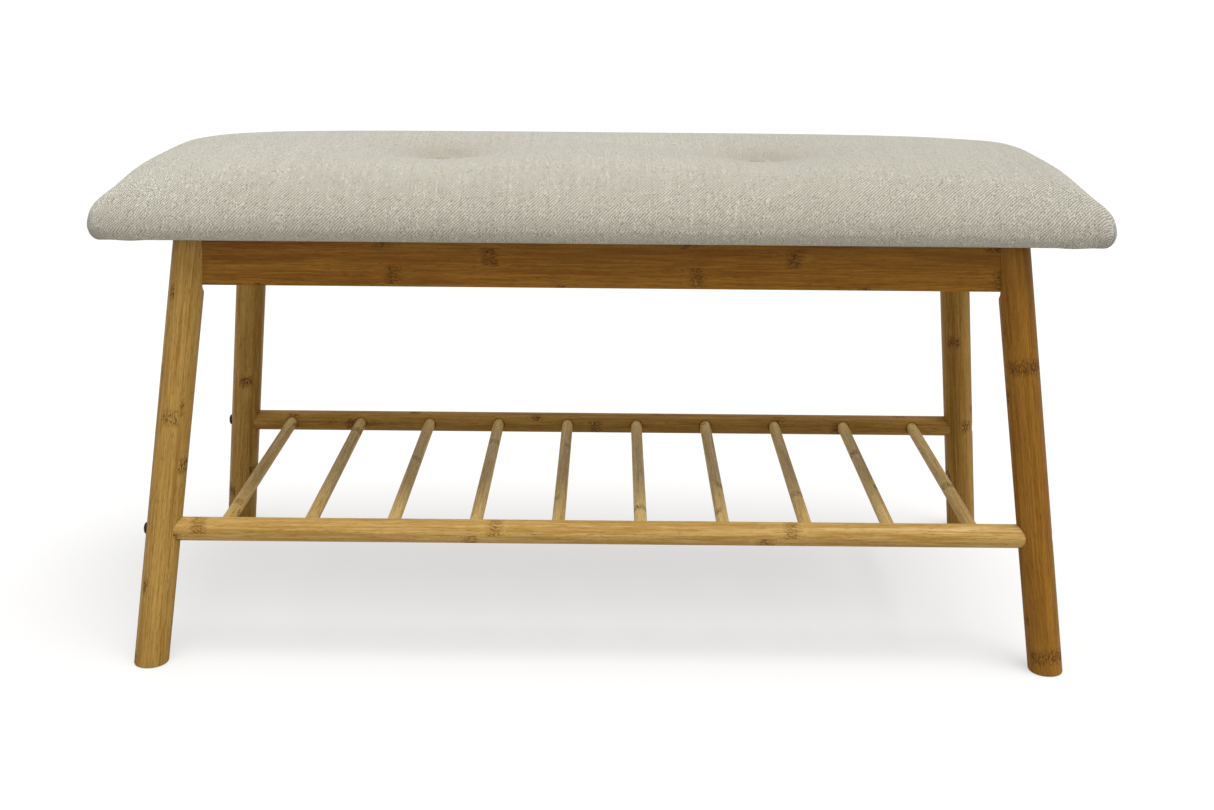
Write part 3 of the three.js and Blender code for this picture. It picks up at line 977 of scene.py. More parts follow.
@dataclass
class Finishes:
    """Every finish on the bench, mixed once."""

    effects: Effects
    lacquered: bpy.types.Material = field(init=False)
    pale: bpy.types.Material = field(init=False)
    raw: bpy.types.Material = field(init=False)
    seat_cloth: bpy.types.Material = field(init=False)
    lining: bpy.types.Material = field(init=False)
    foam: bpy.types.Material = field(init=False)
    plywood: bpy.types.Material = field(init=False)
    twine: bpy.types.Material = field(init=False)
    bronze: bpy.types.Material = field(init=False)
    zinc: bpy.types.Material = field(init=False)

    def __post_init__(self) -> None:
        """Mixes them all."""
        self.lacquered = BambooFinish(
            name="bamboo_lacquered",
            light=(0.67, 0.45, 0.14),
            dark=(0.37, 0.195, 0.028),
            knuckle=(0.055, 0.021, 0.002),
            roughness=0.42,
            coat=0.05,
        ).make(self.effects)
        self.pale = BambooFinish(
            name="bamboo_pale",
            light=(0.86, 0.62, 0.25),
            dark=(0.50, 0.29, 0.065),
            knuckle=(0.15, 0.06, 0.006),
            roughness=0.42,
            coat=0.05,
        ).make(self.effects)
        self.raw = BambooFinish(
            name="bamboo_raw",
            light=(0.50, 0.34, 0.13),
            dark=(0.33, 0.20, 0.065),
            knuckle=(0.14, 0.07, 0.02),
            roughness=0.62,
            coat=0.0,
        ).make(self.effects)
        self.seat_cloth = ClothFinish(
            name="seat_cloth",
            warp=(0.92, 0.885, 0.76),
            weft=(0.36, 0.34, 0.255),
            gap=(0.12, 0.108, 0.078),
            pitch=1.0 * MM,
            repeat=3.0,
            roughness=0.86,
            sheen=0.45,
            relief_depth=0.55 * MM,
        ).make(self.effects)
        self.lining = ClothFinish(
            name="lining_cloth",
            warp=(0.035, 0.034, 0.033),
            weft=(0.022, 0.022, 0.022),
            gap=(0.008, 0.008, 0.008),
            pitch=1.1 * MM,
            repeat=2.0,
            roughness=0.9,
            sheen=0.1,
            relief_depth=0.1 * MM,
        ).make(self.effects)
        self.foam = PlainFinish(
            name="seat_foam",
            light=(0.80, 0.73, 0.52),
            dark=(0.68, 0.58, 0.38),
            roughness=0.9,
            stretch=(1.0, 1.0, 1.0),
            relief_depth=0.3 * MM,
        ).make(self.effects)
        self.plywood = PlainFinish(
            name="plywood",
            light=(0.60, 0.43, 0.24),
            dark=(0.40, 0.25, 0.12),
            roughness=0.7,
            stretch=(0.4, 2.0, 14.0),
            relief_depth=0.1 * MM,
        ).make(self.effects)
        self.twine = PlainFinish(
            name="tufting_twine",
            light=(0.78, 0.74, 0.65),
            dark=(0.62, 0.57, 0.47),
            roughness=0.75,
            stretch=(6.0, 6.0, 2.0),
            relief_depth=0.1 * MM,
        ).make(self.effects)
        self.bronze = MetalFinish(
            name="bronze_coat",
            colour=(0.035, 0.022, 0.015),
            bare=(0.16, 0.10, 0.06),
            roughness=0.34,
            metallic=0.85,
        ).make(self.effects)
        self.zinc = MetalFinish(
            name="zinc_plate",
            colour=(0.52, 0.53, 0.54),
            bare=(0.70, 0.70, 0.70),
            roughness=0.28,
            metallic=1.0,
        ).make(self.effects)


# ---- the frame's own places ----


@dataclass
class Places:
    """Sizes and places that every sub-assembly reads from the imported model."""

    record: dict[str, Any]
    leg_radius: float = 15.5 * MM

    def middle(self, node: str) -> Vector:
        """The middle of a node's box."""
        low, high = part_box(node)
        return (low + high) / 2

    def foot(self, corner: Corner) -> Vector:
        """The middle of a foot, on the floor."""
        name = f"foot_{corner.label}"
        return next(Vector(m["pos_m"]) for m in self.record["mounts"] if m["name"] == name)

    def leg_axis(self, corner: Corner) -> Axis:
        """A leg's axis from the floor to its top.

        Args:
            corner: which leg.

        Returns:
            The axis.
        """
        low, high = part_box(f"leg_{corner.label}")
        foot = self.foot(corner)
        sx, sy = corner.value
        outer = Vector((high.x if sx > 0 else low.x, high.y if sy > 0 else low.y, 0.0))
        inner = Vector((low.x if sx > 0 else high.x, low.y if sy > 0 else high.y, 0.0))
        reach = outer - foot
        top = inner + reach
        return Axis(foot, Vector((top.x, top.y, high.z)))

    def leg_at(self, corner: Corner, height: float) -> Vector:
        """The point of a leg's axis at a height above the floor."""
        axis = self.leg_axis(corner)
        return axis.start.lerp(axis.end, height / axis.end.z)


# ---- legs, aprons and corner blocks ----


@dataclass
class SplayedFrame:
    """Four turned legs, the aprons let into them and the blocks behind the corners."""

    places: Places
    finishes: Finishes
    gap: float = 0.3 * MM
    foot_edge: float = 1.3 * MM
    apron_edge: float = 1.4 * MM
    groove_depth_from_axis: float = 11.2 * MM
    socket_radius: float = 11.25 * MM
    bolt_head: float = 3.4 * MM
    bolt_hole: float = 3.3 * MM
    spot_face: float = 6.4 * MM
    lag_hole: float = 3.2 * MM
    block_lag_hole: float = 3.3 * MM
    block_screw_hole: float = 2.4 * MM
    block_nose: float = 8 * MM
    block_edge: float = 0.8 * MM
    leg_stains: tuple[float, ...] = (0.36, 0.95, 0.35, 0.6)
    segments: int = 96

    def build(self) -> None:
        """Builds and dresses every piece of the frame."""
        for number, corner in enumerate(Corner):
            self._leg(corner, number)
            self._corner_block(corner, number)
        for number, name in enumerate(("front", "rear", "left", "right")):
            self._apron(name, number)

    def _blank(self, name: str, axis: Axis, spare: float = 0.0) -> bpy.types.Object:
        """A leg with level ends and a small rounded edge at the foot and the top.

        Args:
            name: the piece's name.
            axis: the leg's axis, from the floor up.
            spare: extra radius, for a cutter in the leg's shape.

        Returns:
            The closed leg.
        """
        radius = self.places.leg_radius + spare
        top = axis.end.z
        levels = [
            (radius - self.foot_edge, 0.0),
            (radius - 0.35 * self.foot_edge, 0.30 * self.foot_edge),
            (radius, self.foot_edge),
        ]
        levels += [(radius, top * k / 12) for k in range(1, 12)]
        levels += [(radius, top - self.gap), (radius - self.gap, top)]
        rings = []
        for reach, height in levels:
            ring = []
            for i in range(self.segments):
                side = axis.at(0.0, reach, 2 * math.pi * i / self.segments)
                ring.append(side + axis.along * ((height - side.z) / axis.along.z))
            rings.append(ring)
        return stack_rings(name, rings)

    def _groove(self, corner: Corner, apron: str) -> list[bpy.types.Object]:
        """Cutters for the stopped groove that takes one apron's end.

        Args:
            corner: the leg's corner.
            apron: the apron's name.

        Returns:
            A leaning slot and the round mark that the cutter leaves at its end.
        """
        low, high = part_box(apron)
        sx, sy = corner.value
        lengthwise = apron.endswith(("front", "rear"))
        half = (high.y - low.y if lengthwise else high.x - low.x) / 2 + self.gap
        centre = (low + high) / 2
        bottom, top = low.z - self.gap, high.z + 4 * MM

        def corner_point(height: float, inward: float, side: float) -> Vector:
            """A point of the slot: its height, its distance from the leg's axis and its side."""
            leg = self.places.leg_at(corner, height)
            if lengthwise:
                return Vector((leg.x - sx * inward, centre.y + side * half, height))
            return Vector((centre.x + side * half, leg.y - sy * inward, height))

        far = 2.5 * self.places.leg_radius
        depths = (self.groove_depth_from_axis, far)
        points = [corner_point(z, d, s) for z in (bottom, top) for s in (-1, 1) for d in depths]
        faces = [(0, 2, 3, 1), (4, 5, 7, 6), (0, 1, 5, 4), (1, 3, 7, 5), (3, 2, 6, 7), (2, 0, 4, 6)]
        slot = mesh_piece("cutter", points, faces)
        near = corner_point(bottom - half, self.groove_depth_from_axis, 0)
        away = corner_point(bottom - half, far, 0)
        near.z = away.z = bottom
        mark = Axis(near, away)
        return [slot, round_cutter(mark, half, 40)]

    def _leg(self, corner: Corner, number: int) -> None:
        """One leg: its blank, grooves, rail socket and bolt holes."""
        axis = self.places.leg_axis(corner)
        leg = self._blank(f"turned_leg_{corner.label}", axis)
        sx, sy = corner.value
        end = "front" if sy < 0 else "rear"
        flank = "left" if sx < 0 else "right"
        rail_low, rail_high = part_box(f"shelf_rail_{end}")
        rail = (rail_low + rail_high) / 2
        rail_end = rail_high.x if sx > 0 else rail_low.x
        bolt_low, bolt_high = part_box(f"shelf_bolt_{corner.label}")
        outer = bolt_high.x if sx > 0 else bolt_low.x
        seat = outer - sx * (self.bolt_head + self.gap)
        radius = self.places.leg_radius

        def bore(start: float, stop: float, size: float) -> bpy.types.Object:
            """A round cutter along X at the rail's place."""
            run = Axis(Vector((start, rail.y, rail.z)), Vector((stop, rail.y, rail.z)))
            return round_cutter(run, size, 48)

        cutters = self._groove(corner, f"apron_{end}") + self._groove(corner, f"apron_{flank}")
        floor = rail_end + sx * self.gap
        mouth = floor - sx * 2.4 * radius
        cutters.append(bore(floor, mouth, self.socket_radius))
        cutters.append(bore(floor - sx * radius, seat + sx * 2 * radius, self.bolt_hole))
        cutters.append(bore(seat, seat + sx * 2 * radius, self.spot_face))
        lag = self.places.middle(f"leg_bolt_{corner.label}")
        lean = Vector((sx, sy, 0.0)).normalized()
        hole = Axis(lag - lean * 40 * MM, lag + lean * 26 * MM)
        cutters.append(round_cutter(hole, self.lag_hole, 32))
        cut_away(leg, cutters)
        smooth(leg)
        true_round(leg, axis, radius)
        mark_grain(leg, axis, Blank.LEGS.value + number, self.leg_stains[number])
        dress(leg, self.finishes.lacquered)
        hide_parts(f"leg_{corner.label}")
        log.info("leg %s", corner.label)

    def _apron(self, name: str, number: int) -> None:
        """One apron: a board with rounded long edges, its ends leaning with the legs."""
        node = f"apron_{name}"
        low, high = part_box(node)
        board = box_mesh(f"{node}_board", low, high, 0.0)
        lengthwise = name in ("front", "rear")
        axis_index = 0 if lengthwise else 1
        corner = Corner.REAR_RIGHT
        drop = self.places.leg_at(corner, low.z) - self.places.leg_at(corner, high.z)
        lean = drop[axis_index]
        for vertex in board.data.vertices:
            if vertex.co.z > (low.z + high.z) / 2:
                vertex.co[axis_index] -= math.copysign(lean, vertex.co[axis_index])
        along = X_AXIS if lengthwise else Y_AXIS

        def long_edge(edge: bmesh.types.BMEdge) -> bool:
            """True for an edge that runs the length of the board."""
            run = (edge.verts[1].co - edge.verts[0].co).normalized()
            return abs(run.dot(along)) > 0.9

        round_edges(board, self.apron_edge, 4, long_edge)
        smooth(board)
        centre = (low + high) / 2
        mark_grain(board, Axis(centre, centre + along), Blank.APRONS.value + number, 1.0)
        dress(board, self.finishes.lacquered)
        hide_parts(node)
        log.info("apron %s", name)

    def _corner_block(self, corner: Corner, number: int) -> None:
        """One corner block: a blunt triangle in plan, scooped for the leg and drilled."""
        node = f"corner_block_{corner.label}"
        low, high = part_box(node)
        sx, sy = corner.value
        nose = self.block_nose
        outer = Vector((high.x if sx > 0 else low.x, high.y if sy > 0 else low.y, 0.0))
        side = high.x - low.x
        plan = [(0.0, 0.0), (side, 0.0), (side, nose), (nose, side), (0.0, side)]
        rings = [
            [Vector((outer.x - sx * a, outer.y - sy * b, z)) for a, b in plan]
            for z in (low.z, high.z)
        ]
        block = stack_rings(f"{node}_wood", rings)
        round_edges(block, self.block_edge, 2)
        lag = self.places.middle(f"leg_bolt_{corner.label}")
        lean = Vector((sx, sy, 0.0)).normalized()
        hole = Axis(lag - lean * 40 * MM, lag + lean * 40 * MM)
        screw = self.places.middle(f"seat_screw_{corner.label}")
        drill = Axis(
            Vector((screw.x, screw.y, low.z - MM)), Vector((screw.x, screw.y, high.z + MM))
        )
        # the leg's scoop comes last: holes cut after it can spoil the block
        cut_away(
            block,
            [
                round_cutter(drill, self.block_screw_hole, 24),
                round_cutter(hole, self.block_lag_hole, 32),
                self._blank("cutter", self.places.leg_axis(corner), self.gap),
            ],
        )
        smooth(block)
        grain = Vector((-sx, sy, 0.0)).normalized()
        mark_grain(block, Axis(outer, outer + grain), Blank.BLOCKS.value + number)
        dress(block, self.finishes.raw)
        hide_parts(node)
        log.info("corner block %s", corner.label)


# ---- shelf ----


@dataclass
class SlattedShelf:
    """Two round rails and the ten round slats between them."""

    places: Places
    finishes: Finishes
    slat_count: int = 10
    hole_gap: float = 0.8 * MM
    hole_floor: float = 1.6 * MM
    nut_gap: float = 0.25 * MM
    rail_edge: float = 0.8 * MM
    slat_edge: float = 1.0 * MM

    def build(self) -> None:
        """Builds and dresses the rails and the slats."""
        for number, name in enumerate(("front", "rear")):
            self._rail(name, number)
        for index in range(1, self.slat_count + 1):
            self._slat(index)

    def _slat_name(self, index: int) -> str:
        """The node name of a slat."""
        return f"shelf_slat_{index:02d}"

    def _rail(self, name: str, number: int) -> None:
        """One rail, drilled for the slats and for its barrel nuts."""
        node = f"shelf_rail_{name}"
        low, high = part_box(node)
        centre = (low + high) / 2
        radius = (high.z - low.z) / 2
        axis = middle_axis(low, high, 0)
        rail = turned(f"{node}_dowel", axis, dowel_profile(axis.length, radius, self.rail_edge), 80)
        inward = -math.copysign(1.0, centre.y)
        cutters = []
        for index in range(1, self.slat_count + 1):
            slat_low, slat_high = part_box(self._slat_name(index))
            x = (slat_low.x + slat_high.x) / 2
            size = (slat_high.x - slat_low.x) / 2 + self.hole_gap
            start = Vector((x, centre.y + inward * self.hole_floor, centre.z))
            bore = Axis(start, start + Vector((0.0, inward * 2 * radius, 0.0)))
            cutters.append(round_cutter(bore, size, 40))
        for side in Side:
            nut_low, nut_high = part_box(f"barrel_nut_{name}_{side.label}")
            nut = (nut_low + nut_high) / 2
            size = (nut_high.x - nut_low.x) / 2 + self.nut_gap
            run = Axis(
                Vector((nut.x, centre.y, centre.z - 2 * radius)),
                Vector((nut.x, centre.y, nut_high.z + 0.4 * MM)),
            )
            cutters.append(round_cutter(run, size, 32))
        cut_away(rail, cutters)
        smooth(rail)
        true_round(rail, axis, radius)
        looks = {"front": (self.finishes.pale, 0.25), "rear": (self.finishes.lacquered, 0.6)}
        finish, stain = looks[name]
        mark_grain(rail, axis, Blank.RAILS.value + number, stain)
        dress(rail, finish)
        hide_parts(node)
        log.info("shelf rail %s", name)

    def _slat(self, index: int) -> None:
        """One slat: a dowel with rounded ends."""
        node = self._slat_name(index)
        low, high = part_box(node)
        radius = (high.z - low.z) / 2
        axis = middle_axis(low, high, 1)
        slat = turned(f"{node}_dowel", axis, dowel_profile(axis.length, radius, self.slat_edge), 56)
        smooth(slat)
        mark_grain(slat, axis, Blank.SLATS.value + index)
        dress(slat, self.finishes.pale)
        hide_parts(node)
        log.info("shelf slat %02d", index)


# ---- fasteners ----


@dataclass
class Fasteners:
    """Bolts, barrel nuts and screws, each with the recess that its driver fits."""

    finishes: Finishes
    thread_pitch: float = 1.0 * MM
    thread_depth: float = 0.35 * MM
    bolt_head: float = 3.4 * MM
    bolt_brim: float = 0.5 * MM
    cross_hole: float = 3.3 * MM
    screw_head: float = 2.6 * MM

    def build(self) -> None:
        """Builds and dresses every fastener."""
        for corner in Corner:
            sx, sy = corner.value
            self._bolt(f"shelf_bolt_{corner.label}", Vector((sx, 0.0, 0.0)), True)
            self._bolt(f"leg_bolt_{corner.label}", Vector((-sx, -sy, 0.0)).normalized(), False)
            self._barrel(f"barrel_nut_{corner.label}")
            self._screw(f"seat_screw_{corner.label}")
        log.info("bolts, barrel nuts and screws")

    def _thread(self, start: float, stop: float, radius: float) -> list[tuple[float, float]]:
        """A threaded stretch of a profile, as even crests and roots.

        Args:
            start: where the thread starts along the axis.
            stop: where it stops.
            radius: its outer radius.

        Returns:
            (distance along, radius) pairs.
        """
        turns = int((stop - start) / self.thread_pitch)
        profile = []
        for k in range(turns):
            at = start + k * self.thread_pitch
            profile.append((at, radius))
            profile.append((at + self.thread_pitch / 2, radius - self.thread_depth))
        profile.append((start + turns * self.thread_pitch, radius))
        return profile

    def _bolt(self, node: str, out: Vector, coated: bool) -> None:
        """A button-head bolt with a six-sided socket.

        Args:
            node: the bolt's node name.
            out: the way that its head faces.
            coated: True for the dark coated bolts, False for the plain plated ones.
        """
        low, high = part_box(node)
        centre = (low + high) / 2
        head_radius = (high.z - low.z) / 2
        half = abs(Vector(high - low).dot(Vector((abs(out.x), abs(out.y), 0.0)))) / 2
        if abs(out.y) > 0:  # a slanted bolt's box is larger than the bolt by its head's width
            half -= head_radius * abs(out.x) * abs(out.y) * 2
        axis = Axis(centre - out * half, centre + out * half)
        length = axis.length
        head, brim = self.bolt_head, self.bolt_brim
        shank = head_radius / 2
        seat = length - head
        profile = [(0.0, shank * 0.6), (0.8 * MM, shank * 0.95)]
        profile += self._thread(1.0 * MM, seat * 0.6, shank)
        profile += [(seat * 0.62, shank), (seat, shank), (seat, head_radius)]
        profile += [(seat + brim, head_radius)]
        for k in range(1, 7):
            angle = math.pi / 2 * k / 6
            reach = head_radius * (0.52 + 0.48 * math.cos(angle))
            profile.append((seat + brim + (head - brim) * math.sin(angle), reach))
        bolt = turned(f"{node}_steel", axis, profile, 36)
        socket = Axis(axis.at(length - 2.0 * MM), axis.at(length + 2.0 * MM))
        cut_away(bolt, [round_cutter(socket, head_radius * 0.37, 6)])
        smooth(bolt, 30.0)
        dress(
            bolt,
            self.finishes.bronze if coated else self.finishes.zinc,
        )
        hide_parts(node)

    def _barrel(self, node: str) -> None:
        """A barrel nut with a screwdriver slot in its lower end and its cross hole."""
        low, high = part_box(node)
        centre = (low + high) / 2
        radius = (high.x - low.x) / 2
        axis = middle_axis(low, high, 2)
        nut = turned(f"{node}_steel", axis, dowel_profile(axis.length, radius, 0.6 * MM), 36)
        slot = box_mesh(
            "cutter",
            Vector((centre.x - 2 * radius, centre.y - 0.6 * MM, low.z - MM)),
            Vector((centre.x + 2 * radius, centre.y + 0.6 * MM, low.z + 1.2 * MM)),
            0.0,
        )
        hole = Axis(centre - X_AXIS * 2 * radius, centre + X_AXIS * 2 * radius)
        cut_away(nut, [slot, round_cutter(hole, self.cross_hole, 32)])
        smooth(nut, 30.0)
        dress(nut, self.finishes.zinc)
        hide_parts(node)

    def _screw(self, node: str) -> None:
        """A pan-head wood screw, point up, with a cross recess in its head."""
        low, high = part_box(node)
        centre = (low + high) / 2
        head_radius = (high.x - low.x) / 2
        axis = middle_axis(low, high, 2)
        head = self.screw_head
        shank = head_radius / 2
        profile = [(0.0, head_radius * 0.55), (0.25 * MM, head_radius * 0.78)]
        profile += [(0.9 * MM, head_radius * 0.96), (1.6 * MM, head_radius), (head, head_radius)]
        profile += [(head, shank * 0.9), (head + 12 * MM, shank * 0.9)]
        profile += self._thread(head + 12.5 * MM, axis.length - 3 * MM, shank)
        profile += [(axis.length - 1.0 * MM, shank * 0.4), (axis.length, 0.05 * MM)]
        screw = turned(f"{node}_steel", axis, profile, 28)
        reach, width = head_radius * 0.55, 0.45 * MM
        recess = []
        for a, b in ((reach, width), (width, reach)):
            recess.append(
                box_mesh(
                    "cutter",
                    Vector((centre.x - a, centre.y - b, low.z - MM)),
                    Vector((centre.x + a, centre.y + b, low.z + 1.4 * MM)),
                    0.0,
                )
            )
        cut_away(screw, recess)
        smooth(screw, 30.0)
        dress(screw, self.finishes.zinc)
        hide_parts(node)


# ---- upholstered seat ----


@dataclass(frozen=True)
class DragLine:
    """A shallow crease that runs out from a tuft."""

    tuft: Side
    angle: float
    reach: float
    depth: float
    width: float


@dataclass
class TuftedSeat:
    """The seat pad: cloth cover, foam, lining, tuft buttons and what holds them."""

    places: Places
    finishes: Finishes
    cells_long: int = 176
    cells_deep: int = 66
    corner_radius: float = 24 * MM
    bulge_height: float = 10.5 * MM
    shoulder_width: float = 55 * MM
    end_shoulder_width: float = 41.5 * MM
    shoulder_rise: float = 43 * MM
    shoulder_power: float = 1.78
    corner_ease: float = 2.1
    dip_radius: float = 122 * MM
    dip_depth: float = 15.5 * MM
    dip_power: float = 1.35
    dip_forward: float = 22 * MM
    well_radius: float = 29 * MM
    well_floor: float = 9.5 * MM
    hem_width: float = 26 * MM
    edge_tuck: float = 8.5 * MM
    hem_lift: float = 0.2 * MM
    cloth_thickness: float = 1.1 * MM
    start_spread: float = 4.5 * MM
    start_drop: float = 5.0 * MM
    start_crown_drop: float = 0.6 * MM
    swell_frames: int = 20
    swell_cap: float = 7 * MM
    held_height: float = 2.0 * MM
    evening_rounds: int = 24
    side_rings: int = 5
    hem_rings: int = 6
    fold_start: tuple[float, float] = (-48 * MM, 8 * MM)
    fold_end: tuple[float, float] = (-82 * MM, -95 * MM)
    fold_width: float = 2.6 * MM
    fold_height: float = 1.2 * MM
    ripple_depth: float = 1.8 * MM
    ripple_turns: float = 14.0
    foam_gap: float = 1.4 * MM
    button_gathers: int = 16
    gather_depth: float = 0.25 * MM
    staple_seed: int = 7
    staple_clearance: float = 24 * MM
    drag_lines: tuple[DragLine, ...] = (
        DragLine(Side.LEFT, 331.0, 0.120, 2.6 * MM, 9 * MM),
        DragLine(Side.LEFT, 20.0, 0.085, 1.2 * MM, 7 * MM),
        DragLine(Side.LEFT, 95.0, 0.075, 1.0 * MM, 8 * MM),
        DragLine(Side.LEFT, 168.0, 0.080, 1.3 * MM, 6 * MM),
        DragLine(Side.LEFT, 232.0, 0.085, 1.0 * MM, 8 * MM),
        DragLine(Side.RIGHT, 338.0, 0.105, 1.7 * MM, 9 * MM),
        DragLine(Side.RIGHT, 38.0, 0.080, 1.0 * MM, 8 * MM),
        DragLine(Side.RIGHT, 110.0, 0.075, 0.9 * MM, 8 * MM),
        DragLine(Side.RIGHT, 178.0, 0.085, 1.2 * MM, 7 * MM),
        DragLine(Side.RIGHT, 252.0, 0.080, 0.9 * MM, 8 * MM),
    )

    def __post_init__(self) -> None:
        """Reads the pad's box and the tufts' places."""
        self.low, self.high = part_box("seat_cover")
        self.half_length = (self.high.x - self.low.x) / 2
        self.half_depth = (self.high.y - self.low.y) / 2
        self.crown = self.high.z - self.low.z - self.bulge_height - self.shoulder_rise
        self.tufts = {side: self.places.middle(f"tuft_button_{side.label}") for side in Side}
        self.well_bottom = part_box("tuft_button_left")[0].z

    def build(self) -> None:
        """Builds and dresses every piece of the seat."""
        points, faces, cloth = self._cover_sheet()
        points = self._swell(points, faces)
        points = self._crease(points)
        self._foam(points)
        self._cover(points, faces, cloth)
        self._buttons()
        self._lining()
        self._staples()
        self._carried_over()

    def _crowded(self, value: float) -> float:
        """A place from -1 to 1 moved towards the nearer end, where the pad curves most."""
        return 0.42 * value + 0.58 * math.sin(value * math.pi / 2)

    def _height(self, x: float, y: float, start: bool) -> float:
        """Height of the pad's top above a plan place.

        Args:
            x: place along the bench.
            y: place across it.
            start: True for the lower form that the cloth swells from.

        Returns:
            The height above the floor.
        """
        half_x, half_y = self._halves(start)
        gap_x, gap_y = (max(h - abs(p), 1e-6) for h, p in ((half_x, x), (half_y, y)))
        ease = self.corner_ease
        share_x, share_y = gap_x / self.end_shoulder_width, gap_y / self.shoulder_width
        edge = (share_x**-ease + share_y**-ease) ** (-1 / ease)
        step = 1 - min(edge, 1.0)
        rise = (1 - step**self.shoulder_power) ** (1 / self.shoulder_power)
        crown = self.crown - (self.start_crown_drop if start else 0.0)
        shoulder = self.shoulder_rise - (self.start_drop if start else 0.0)
        top = self.low.z + self.bulge_height + shoulder * rise
        top += crown * (1 - (y / half_y) ** 2) * (1 - (x / half_x) ** 4)
        for tuft in self.tufts.values():
            reach = math.hypot(x - tuft.x, y - tuft.y)
            spread = math.hypot(x - tuft.x, y - tuft.y + self.dip_forward)
            if spread < self.dip_radius:
                top -= self.dip_depth * (1 - spread / self.dip_radius) ** self.dip_power
            if reach < self.well_radius:
                fade = (self.well_radius - reach) / (self.well_radius - self.well_floor)
                fade = min(fade, 1.0)
                top += (self.well_bottom - top) * fade * fade * (3 - 2 * fade)
        return top

    def _halves(self, start: bool) -> tuple[float, float]:
        """Half the pad's length and depth, for the finished form or the starting one."""
        spread = self.start_spread if start else 0.0
        return self.half_length + spread, self.half_depth + spread

    def _plan(self, s: float, t: float, start: bool) -> tuple[float, float, float, float]:
        """A grid place turned into a plan place inside the rounded outline.

        Args:
            s: place along, from -1 to 1.
            t: place across, from -1 to 1.
            start: True for the form that the cloth swells from.

        Returns:
            The plan place, and the square place that it came from.
        """
        half_x, half_y = self._halves(start)
        square_x, square_y = half_x * self._crowded(s), half_y * self._crowded(t)
        corner = self.corner_radius
        over_x = abs(square_x) - (half_x - corner)
        over_y = abs(square_y) - (half_y - corner)
        x, y = square_x, square_y
        if over_x > 0 and over_y > 0:
            pull = max(over_x, over_y) / math.hypot(over_x, over_y)
            x = math.copysign(half_x - corner + over_x * pull, square_x)
            y = math.copysign(half_y - corner + over_y * pull, square_y)
        return x, y, square_x, square_y

    def _cover_sheet(self) -> tuple[np.ndarray, list[tuple[int, ...]], np.ndarray]:
        """The cover as one open sheet: the crowned top, the sides and the turned-under hem.

        Returns:
            Point places, faces and the cloth coordinate of each point.
        """
        across, along = self.cells_deep, self.cells_long
        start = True
        points: list[tuple[float, float, float]] = []
        for j in range(across + 1):
            for i in range(along + 1):
                s, t = 2 * i / along - 1, 2 * j / across - 1
                x, y, square_x, square_y = self._plan(s, t, start)
                points.append((x, y, self._height(square_x, square_y, start)))
        row = along + 1
        faces = grid_faces(row, across + 1)
        loop = self._outline()
        rim_start = len(points)
        outline = [points[i] for i in loop]
        previous = loop
        for depth, drop in self._side_steps():
            ring = []
            for x, y, z in outline:
                away = self._outward(x, y, start)
                ring.append(len(points))
                points.append((x - away[0] * depth, y - away[1] * depth, z - drop))
            for i in range(len(loop)):
                j = (i + 1) % len(loop)
                faces.append((previous[j], previous[i], ring[i], ring[j]))
            previous = ring
        spots = np.array(points)
        cloth = self._cloth_places(spots, row, loop, rim_start)
        return spots, faces, cloth

    def _outline(self) -> list[int]:
        """The points on the edge of the top, in order round it."""
        row, rows = self.cells_long + 1, self.cells_deep + 1
        loop = list(range(row))
        loop += [j * row + row - 1 for j in range(1, rows)]
        loop += [(rows - 1) * row + i for i in range(row - 2, -1, -1)]
        loop += [j * row for j in range(rows - 2, 0, -1)]
        return loop

    def _side_steps(self) -> list[tuple[float, float]]:
        """How far in and how far down each ring below the outline lies.

        Returns:
            (inset, drop) pairs, from just below the outline to the hem's inner edge.
        """
        bottom = self.bulge_height - self.hem_lift
        spread = self.start_spread
        tuck, hem = self.edge_tuck + spread, self.hem_width + spread
        steps = []
        for k in range(1, self.side_rings + 1):
            angle = math.pi / 2 * k / self.side_rings
            steps.append((tuck * (1 - math.cos(angle)), bottom * math.sin(angle)))
        for k in range(1, self.hem_rings + 1):
            steps.append((tuck + (hem - tuck) * k / self.hem_rings, bottom))
        return steps

    def _outward(self, x: float, y: float, start: bool) -> tuple[float, float]:
        """Unit direction out of the rounded outline at a plan place on it."""
        half_x, half_y = self._halves(start)
        corner = self.corner_radius
        over_x, over_y = abs(x) - (half_x - corner), abs(y) - (half_y - corner)
        if over_x > 0 and over_y > 0:
            size = math.hypot(over_x, over_y)
            return math.copysign(over_x / size, x), math.copysign(over_y / size, y)
        if over_x / corner > over_y / corner:
            return math.copysign(1.0, x), 0.0
        return 0.0, math.copysign(1.0, y)

    def _cloth_places(
        self, spots: np.ndarray, row: int, loop: list[int], rim_start: int
    ) -> np.ndarray:
        """Where each point lies on the flat cloth, in metres.

        Args:
            spots: point places.
            row: how many points one row of the top has.
            loop: the top's outline points, in order.
            rim_start: the first point below the outline.

        Returns:
            A cloth coordinate for each point.
        """
        cloth = np.zeros((len(spots), 3))
        top = spots[:rim_start].reshape(-1, row, 3)
        for axis, result in ((1, 0), (0, 1)):
            steps = np.linalg.norm(np.diff(top, axis=axis), axis=2)
            run = np.cumsum(steps, axis=axis)
            zero = np.zeros_like(np.take(run, [0], axis=axis))
            run = np.concatenate([zero, run], axis=axis)
            middle = np.take(run, [run.shape[axis] // 2], axis=axis)
            cloth[:rim_start, result] = (run - middle).reshape(-1)
        count = len(loop)
        base = cloth[loop, :2]
        away = np.array([self._outward(*spots[i, :2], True) for i in loop])
        last = spots[loop]
        run_down = np.zeros(count)
        start = rim_start
        while start < len(spots):
            ring = spots[start : start + count]
            run_down = run_down + np.linalg.norm(ring - last, axis=1)
            cloth[start : start + count, :2] = base + away * run_down[:, None]
            last = ring
            start += count
        return cloth

